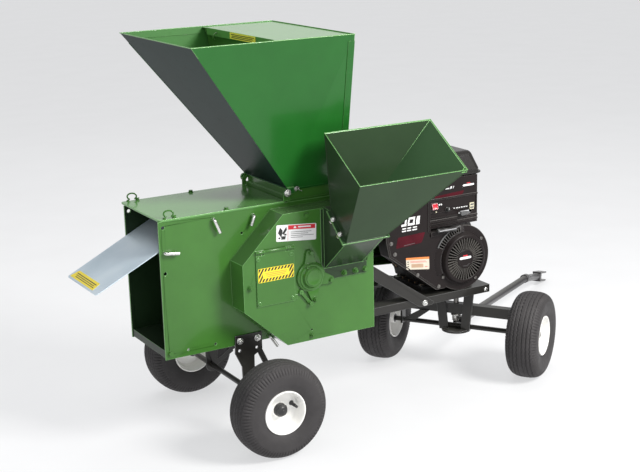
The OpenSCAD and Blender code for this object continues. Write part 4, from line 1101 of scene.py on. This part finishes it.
# mark on the boss: a plain white pill, and below it a thin grey arc that is a painted highlight on the boss
bd = Build()
pill = []
for cx, a00 in ((22, -90), (-22, 90)):
    for i in range(9):
        a = radians(a00 + 22.5 * i)
        pill.append((CX + cx + 4.6 * cos(a), CZ + 4 + 4.6 * sin(a)))
bd.prism(pill, -22.9, -21.0, "y", 0)
bd.prism([(CX - 12, CZ + 10.4), (CX + 12, CZ + 10.4), (CX + 9, CZ + 14.6), (CX - 9, CZ + 14.6)], -22.8, -21.0, "y", 1)
rr = []
for i in range(13):
    a = radians(250 + 62 * i / 12)
    rr.append([(CX + r_ * cos(a), y_, CZ + r_ * sin(a)) for r_, y_ in ((26.5, -21.2), (28.5, -21.2), (28.5, -22.7), (26.5, -22.7))])
bd.loft(rr, True, True, 2)
bd.make("recoil_mark", [M_WHITE, M_REDINK, M_GREY_AND_HILITE], "chassis", smooth=30)

# shroud screws, stiffening edges and moulded lines on the shroud
eb = Build()
for x, z in ((892, 588), (884, 690), (1046, 738), (908, 546), (1100, 392), (1006, 452)):
    eb.turn([(0, 0), (7.5, 0), (7.5, 1.2), (5.2, 1.6), (5.2, 3.4), (4.4, 4.2), (0, 4.2)], (x, 0, z), ND, 24)
eb.make("shroud_screws", M_DARKSTEEL, "chassis", "zinc_steel", smooth=36)
sh = Build()
# raised frame that follows the shroud's outline
fr = [(1058, 741), (902, 738), (878, 699), (876, 601), (889, 540), (1090, 387)]
for i in range(5):
    (xa, za), (xb, zb_) = fr[i], fr[i + 1]
    d_ = Vector((xb - xa, zb_ - za)).normalized()
    n_ = Vector((-d_.y, d_.x))
    q = [(xa, za), (xb, zb_), (xb - n_.x * -3.2, zb_ - n_.y * -3.2), (xa - n_.x * -3.2, za - n_.y * -3.2)]
    sh.prism(q, -1.6, 0.2, "y", 0)
sh.box((1052.5, -3.0, 606), (1061.5, 0.5, 744), 0)
# step below the panel, where the starter's shelf bridges shroud and blower
sh.prism([(1062, 604), (1186, 604), (1176, 598), (1064, 586)], -6, 14, "y", 0)
sh.make("shroud_edges", [M_ENGP, M_ENGP_HILITE], "chassis", "engine_black", bevel=0.0012, smooth=30)

# printed panels
def blk(x0, z0, x1, z1, sk=0.0):
    return [(x0, z0), (x1, z0), (x1 + sk, z1), (x0 + sk, z1)]
quad_label("shroud_info_plate", [(955, 0, 525), (1057, 0, 514), (1058, 0, 466), (957, 0, 481)], ND, "chassis",
           [([bar(0.0, 0.82, 1.0, 1.0)], M_ORANGE, 0.06), ([bar(0.22, 0.16, 0.74, 0.46)], M_TAN, 0.05),
            ([bar(0.05, 0.60, 0.11, 0.68), bar(0.05, 0.42, 0.11, 0.50), bar(0.05, 0.22, 0.11, 0.30)], M_INK, 0.05),
            ([bar(0.18, 0.58, 0.90, 0.61), bar(0.18, 0.66, 0.84, 0.69), bar(0.80, 0.20, 0.92, 0.24)], M_REDINK, 0.05)], M_CREAMP)
quad_label("shroud_maroon_patch", [(921, 0, 606), (1040, 0, 610), (1024, 0, 572), (912, 0, 566)], ND, "chassis",
           [([bar(0.30, 0.10, 0.72, 0.14)], M_GREY_AND_HILITE, 0.05)], M_MAROON, r=5)
mk = Build()
for i, (x, wd) in enumerate(((935, 22), (963, 30), (999, 15))):
    mk.prism(blk(x, 644, x + wd, 652, 2), -0.5, 0.1)
    mk.prism(blk(x + 4, 666, x + wd + 2, 674, 2), -0.5, 0.1)
    mk.prism(blk(x + wd - 7, 652, x + wd, 666, 3), -0.5, 0.1)
    if i:
        mk.prism(blk(x, 652, x + 7, 666, 3), -0.5, 0.1)
for x, wd in ((938, 18), (960, 18), (983, 20)):
    mk.prism(blk(x, 624, x + wd, 628.5, 1), -0.5, 0.1)
    mk.prism(blk(x + 2, 633, x + wd, 637.5, 1), -0.5, 0.1)
mk.make("shroud_white_marks", M_WHITE, "chassis", smooth=20)

pn = Build()
for z in (627.5, 650.0):
    rows = []
    for x, k in ((1068, 0.2), (1074, 1), (1188, 1), (1196, 0.2)):
        rows.append([(x, 14, z - 4.0 * k - 0.2), (x, 14 - 4.6 * k, z - 1.6 * k), (x, 14 - 5.2 * k, z + 1.2 * k), (x, 14, z + 3.6 * k + 0.2)])
    if z > 640:
        rows = rows[:]
    pn.loft(rows, True, True, 0)
# raised border round the switches
for a_, b_ in (((1069, 668), (1281, 671)), ((1069, 713.5), (1281, 717)), ((1069, 668), (1072, 717)), ((1278.5, 668), (1281.5, 717))):
    pn.box((a_[0], 11.4, a_[1]), (b_[0], 14.4, b_[1]), 0)
pn.turn([(0, 0), (9.6, 0), (9.6, 2.5), (7.6, 3.5), (7.2, 11), (6.2, 12.4), (0, 12.4)], (1148, 14, 676), ND, 28, mi=1)
pn.box((1147, 1.2, 677), (1149.4, 3.0, 683.6), 3)
for x in (1112, 1121):
    pn.turn([(0, 0), (3.6, 0), (3.6, 0.8), (0, 0.8)], (x, 14, 698), ND, 20, mi=3)
for i, x in enumerate((1176, 1188, 1199, 1209, 1221, 1231)):
    pn.box((x, 13.5, 673.2), (x + (9 if i % 2 else 7), 14.2, 677.2), 3)
pn.box((1248, 10.5, 662), (1268, 14.2, 687), 2)
pn.box((1251, 9.2, 666), (1265, 11, 672), 4)
pn.box((1251, 9.2, 677), (1265, 11, 683), 4)
pn.turn([(0, 0), (3.2, 0), (3.2, 1.8), (0, 2.2)], (1098, 14, 672.5), ND, 16, mi=2)
# top row of marks
for x, z, wd, ht, sk in ((1139, 751, 17, 4, 3), (1160, 751, 7, 9, 3), (1171, 751, 4, 9, 5)):
    pn.prism(blk(x, z, x + wd, z + ht, sk), 13.4, 14.2, "y", 3)
pil = []
for cx, a00 in ((1266, -90), (1222, 90)):
    for i in range(9):
        a = radians(a00 + 22.5 * i)
        pil.append((cx + 3.9 * cos(a), 755.5 + 3.9 * sin(a)))
pn.prism(pil, 13.3, 14.2, "y", 3)
pn.prism([(1234, 761), (1254, 761), (1251, 764.5), (1237, 764.5)], 13.4, 14.2, "y", 5)
# thin crease below the panel's middle
pn.box((1100, 13.0, 612.5), (1284, 15, 616), 0)
pn.make("panel_fittings", [M_ENGP, M_INK, M_CREAM, M_WHITE, M_GREY_AND_HILITE, M_REDINK], "chassis", "black_plastic", bevel=0.0005, smooth=30)
quad_label("panel_maroon_patch", [(1092, 14, 731), (1226, 14, 738), (1212, 14, 719), (1094, 14, 719)], ND, "chassis", [], M_MAROON, r=4)

# rocker switch
sw = Build()
prof = [(24, 683.4), (6.4, 683.4), (4.6, 688), (7.2, 694.5), (9.4, 700), (8.6, 705.6), (24, 705.6)]
sw.loft([[(x, y, z) for y, z in prof] for x in (1078.4, 1102.6)], True, True, 0)
sw.box((1088.5, 4.2, 686), (1092.5, 6.5, 691), 1)
o = sw.make("rocker_switch", [M_RED, M_WHITE], "engine_switch", "red_plastic", bevel=0.0008, smooth=30)
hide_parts("engine_switch")
# bezel round the rocker
bz = Build()
for a_, b_ in (((1073.5, 679.5), (1107.5, 682.2)), ((1073.5, 706.8), (1107.5, 709.5)), ((1073.5, 679.5), (1076.8, 709.5)), ((1104.2, 679.5), (1107.5, 709.5))):
    bz.box((a_[0], 12.4, a_[1]), (b_[0], 14.4, b_[1]))
bz.make("switch_bezel", M_INK, "chassis", "black_plastic", bevel=0.0006)

# throttle paddle
th = Build()
prof = [(1198, 650.5), (1203, 647.6), (1217, 648.4), (1236, 651.5), (1240, 655.5), (1236, 659.5), (1216, 662.2), (1203, 662.0), (1198, 659)]
th.loft([[(x, y, z) for x, z in prof] for y in (-5.6, 3.6)], True, True, 0)
th.box((1206.4, 2.5, 653.4), (1213.6, 27.6, 657.6), 0)
for x in (1204, 1209, 1214, 1219):
    th.box((x, -6.6, 650.5), (x + 2, -5.2, 659.8), 0)
o = th.make("throttle_paddle", M_GREY_AND_HILITE, "throttle_lever", "grey_plastic", bevel=0.0012, smooth=34)
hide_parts("throttle_lever")

# starter grip: waisted T handle
gr = Build()
gx, gd_ = Vector((1078, -22, 612)), Vector((cos(radians(4)), 0, -sin(radians(4))))
pf = [(0, -2), (5.0, -1.6), (7.4, 0.4), (8.2, 3), (8.2, 8), (7.2, 14), (6.6, 22), (6.5, 34), (7.4, 38), (8.0, 42), (7.4, 46), (6.5, 50), (6.6, 62),
      (7.2, 70), (8.2, 76), (8.2, 81), (7.4, 83.6), (5.0, 85.6), (0, 86)]
gr.turn(pf, gx, gd_, 40)
gr.turn([(5.6, 0), (5.6, 8), (4.4, 17), (0, 17)], gx + gd_ * 42 + Vector((0, 5.5, 0)), (0, 1, 0), 24)
for s_ in (18, 26, 58, 66):
    gr.turn([(6.3, -0.9), (7.4, -0.5), (7.4, 0.5), (6.3, 0.9)], gx + gd_ * s_, gd_, 32, closed=True)
# thin bright steel strip along the grip's front top: painted highlight standing for the reflection along the black
# handle
gr.box((1083, -30.6, 609.5), (1158, -27.4, 613.0), 1)
o = gr.make("starter_grip_moulded", [M_GRIP, M_STEEL], "starter_grip", "black_plastic", smooth=40)
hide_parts("starter_grip")

# fuel cap with finger lobes
cp = Build()
rings = []
for rr_, zz in ((26.0, 881.2), (27.6, 882.4), (27.6, 893.5), (26.4, 896.0), (23.5, 897.2)):
    rings.append([(1040 + (rr_ + (0 if zz > 897 else 1.5 * cos(12 * t))) * cos(t), 165 + (rr_ + (0 if zz > 897 else 1.5 * cos(12 * t))) * sin(t), zz)
                  for t in (2 * pi * i / 144 for i in range(144))])
cp.loft(rings, True, True)
cp.turn([(14, 0), (17, 0), (17, 1.6), (16, 2.2), (14.8, 1.8)], (1040, 165, 896.9), PZ, 48, closed=True)
cp.box((1030, 162, 897.0), (1050, 168, 899.2))
o = cp.make("fuel_cap_lobed", M_INK2, "fuel_cap", "black_plastic", smooth=34)
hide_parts("fuel_cap")
# tank filler neck collar and seam
tk = Build()
tk.turn([(22, 0), (27, 0), (27, 2.5), (24, 4.0), (22, 4.2)], (1040, 165, 876.3), PZ, 48, closed=True)
tk.turn([(27.2, 0), (31, 0), (31, 1.1), (27.2, 1.5)], (1040, 165, 876.2), PZ, 48, closed=True)
tk.make("tank_fittings", M_DARKSTEEL, "chassis", "zinc_steel", smooth=34)

# engine block extras: feet bolts are above; plugs, ribs and a bracket
bl = Build()
for c_, d_ in (((1062, 66, 440), (-0.72, 0, -0.69)),):
    pass
bl.turn([(0, 0), (9, 0), (9, 5), (6.5, 7), (0, 7)], (1069, 120, 443.5), (-0.84, 0, -0.54), 6, mi=1)
bl.turn([(0, 0), (12, 0), (12, 6), (9, 10), (9, 22), (13, 24), (13, 34), (0, 36)], (1062, 196, 455), (-0.84, 0, -0.54), 28, mi=0)
for y in (90, 130, 170, 210, 250):
    bl.box((1082, y, 372.5), (1320, y + 4, 380), 0)
bl.make("engine_block_details", [M_CAST, M_BRASS], "chassis", "engine_cast", bevel=0.0008, smooth=34)

# kingpin castle nut and split pin below the pivot
kn = Build()
kn.hexbolt((1285, 143.5, 212), (0, 0, -1), 17, 14, 21, 2.4)
for i in range(6):
    a = radians(60 * i + 30)
    kn.box((1285 + 12 * cos(a) - 2, 143.5 + 12 * sin(a) - 2, 190.5), (1285 + 12 * cos(a) + 2, 143.5 + 12 * sin(a) + 2, 196.5))
kn.tube([(1265, 141, 193), (1275, 142.6, 193), (1295, 144.4, 193), (1304, 146, 191)], 2.0, 10)
kn.hexbolt((1285, 143.5, 360), PZ, 15, 6.5, 19, 2.0)
kn.turn([(0, 0), (10, 0), (10, 24), (8.6, 26), (0, 26)], (1285, 143.5, 186), PZ, 28)
kn.make("kingpin_fittings", M_ZINC, "chassis", "zinc_steel", smooth=34)

# ------------------------------------------------------------------ hopper hinge hardware, latch and hook
hh = Build()
for y, s_ in ((-13, -1), (310.2, 1)):
    hh.hexbolt((470, y, 836), (0, s_, 0), 9.5, 6.5, 13, 1.8, nut=(s_ < 0), spin=0.3)
o = hh.make("hopper_hinge_bolts", M_ZINC, "chassis", "zinc_steel", smooth=34)
rc2 = Build()
# spring clip: straight leg with a bent bow
px_, pz_ = 500.0, 850.0
pts = [(490, -17, 836)] + [(505, -17, 840), (514, -17, 846)]
rc2.turn([(0, 0), (6.0, 0), (6.0, 10), (4.6, 12.5), (0, 13)], (500, -13, 849), ND, 24)
bow = []
for i in range(25):
    t = i / 24
    a = radians(-30 + 280 * t)
    bow.append((500 + 7.5 * cos(a), -23.2 - 0.6 * t, 849 + 7.5 * sin(a)))
rc2.tube([(520, -23.4, 838)] + bow, 1.6, 10)
rc2.make("hopper_lock_pin", M_ZINC, "hopper", "zinc_steel", smooth=36)

# strip label on the hopper cover's front lip, in a brighter yellow that paints light onto its shaded lip, and the small
# hook on the left
quad_label("hopper_caution_strip", [(386.9, 204, 1361), (386.9, 20, 1361), (386.9, 20, 1339.5), (386.9, 204, 1339.5)], (-1, 0, 0), "hopper",
           [([bar(0.05, 0.64, 0.95, 0.76), bar(0.08, 0.40, 0.90, 0.52), bar(0.05, 0.16, 0.86, 0.28)], M_INK, 0.05)], M_YELLOW_LIT, r=3)
hk = Build()
hk.tube(bez((389.6, 306, 1349), (374, 306, 1348), (374, 306, 1335), 10) + bez((374, 306, 1334), (374.5, 306, 1326), (380, 306, 1328), 8)[1:], 2.6, 12)
hk.make("cover_hook", M_GREEN, "hopper", "green_paint", smooth=40)

# gusset corner on the chute mouth
# the corner tab is all in the light edge green: painted highlight on the bent corner
cg = Build()
cg.tube([(984.5, -329, 905.5), (977, -322, 913), (966, -327.5, 905.0)], 1.6, 10, 0)
cg.box((962, -327.8, 896), (983, -325.6, 906), 0)
cg.make("chute_corner_tab", M_EDGE_HILITE, "chassis", "chute_paint", smooth=30)
# rolled edge along the chute mouth, in the light edge green: painted highlight along the mouth
re = Build()
mouth = [(560, -330, 904), (985, -330, 904), (985, -113, 1045), (560, -113, 1045)]
for i in range(4):
    a, c = Vector(mouth[i]), Vector(mouth[(i + 1) % 4])
    re.tube([a, a.lerp(c, 0.5), c], 1.0, 12)
re.make("chute_mouth_edge", M_EDGE_HILITE, "chassis", "chute_paint", smooth=60)
# thin tube under the hopper rim in the light edge green: painted highlight along the rim
rh = Build()
rim_ = [(82, -139, 1364), (669, -139, 1364), (669, 426, 1364), (82, 426, 1364)]
for i in range(4):
    a, c = Vector(rim_[i]), Vector(rim_[(i + 1) % 4])
    rh.tube([a - Vector((0, 0, 1.6)), a.lerp(c, 0.5) - Vector((0, 0, 1.6)), c - Vector((0, 0, 1.6))], 1.2, 10)
rh.make("hopper_rim_edge", M_EDGE_HILITE, "hopper", "chute_paint", smooth=60)

# door: hinge leaves and screws
dh = Build()
for x0 in (299.5, 412.5):
    dh.box((x0, -91.0, 655), (x0 + 30, -88.8, 668), 0)
    for k in (8, 22):
        dh.turn([(0, 0), (3.4, 0), (3.2, 1.0), (2.0, 1.7), (0, 1.9)], (x0 + k, -91.0, 659), ND, 18, mi=0)
dh.make("door_hinge_leaves", M_GREEN, "chassis", "green_paint", bevel=0.0005, smooth=32)



# ------------------------------------------------------------------ stage
def plane(name, size, z, mat):
    me = bpy.data.meshes.new(name)
    s = size
    me.from_pydata([(-s, -s, z), (s, -s, z), (s, s, z), (-s, s, z)], [], [[0, 1, 2, 3]])
    o = link(bpy.data.objects.new(name, me))
    me.materials.append(mat)
    return o


m_floor, nt, b = new_mat("studio_floor")
b.inputs["Roughness"].default_value = 0.9
nt.links.new(ramp(nt, noise(nt, coords(nt), 3.0, 3, 0.5), [(0.3, (0.30, 0.30, 0.305)), (0.7, (0.32, 0.32, 0.325))]), b.inputs["Base Color"])
b.inputs["Specular IOR Level"].default_value = 0.2
b.inputs["Emission Color"].default_value = (0.985, 0.99, 1.0, 1)
b.inputs["Emission Strength"].default_value = 0.60
plane("studio_floor", 30.0, 0.0, m_floor)

world = bpy.data.worlds.new("studio")
bpy.context.scene.world = world
world.use_nodes = True
bg = world.node_tree.nodes["Background"]
bg.inputs["Color"].default_value = (0.83, 0.84, 0.86, 1)
bg.inputs["Strength"].default_value = 0.44


def area(name, loc, target, size, power, col=(1, 1, 1)):
    l = bpy.data.lights.new(name, "AREA")
    l.shape = "RECTANGLE"
    l.size, l.size_y = size
    l.energy = power
    l.color = col
    o = link(bpy.data.objects.new(name, l))
    o.location = loc
    d = Vector(target) - Vector(loc)
    o.rotation_euler = d.to_track_quat("-Z", "Y").to_euler()
    return o


area("key", P(2350, -3150, 3400), P(600, 100, 600), (1.5, 1.5), 265, (1.0, 0.99, 0.96))
area("fill", P(-1700, -3900, 2600), P(700, 100, 500), (2.4, 2.0), 45, (0.97, 0.98, 1.0))
area("top", P(400, 800, 4200), P(600, 100, 500), (3.5, 3.0), 70)
area("back", P(2900, 4600, 2750), P(600, 100, 900), (4.6, 2.3), 11)

# camera at the photograph's viewing angle
AZ, EL, ROLL, F = radians(-30.956), radians(15.827), radians(-1.214), 1323.735
back = Vector((sin(AZ) * cos(EL), -cos(AZ) * cos(EL), sin(EL)))
right = Vector((cos(AZ), sin(AZ), 0))
upv = back.cross(right)
upv = Vector((back.y * right.z - back.z * right.y, back.z * right.x - back.x * right.z, back.x * right.y - back.y * right.x))
r2 = right * cos(ROLL) + upv * sin(ROLL)
u2 = -right * sin(ROLL) + upv * cos(ROLL)
cam = bpy.data.cameras.new("camera")
cam.sensor_fit = "HORIZONTAL"
cam.sensor_width = 36.0
cam.lens = F * 36.0 / 640.0
cam.shift_x = -(340.024 - 320.0) / 640.0
cam.shift_y = (254.895 - 236.0) / 640.0
cam.clip_end = 200
camo = link(bpy.data.objects.new("camera", cam))
camo.matrix_world = Matrix.Translation(P(-1614.4, -3821.3, 1846.0)) @ Matrix((
    (r2.x, u2.x, back.x), (r2.y, u2.y, back.y), (r2.z, u2.z, back.z))).to_4x4()
bpy.context.scene.camera = camo
bpy.context.scene.view_settings.view_transform = "Standard"
bpy.context.scene.view_settings.look = "None"
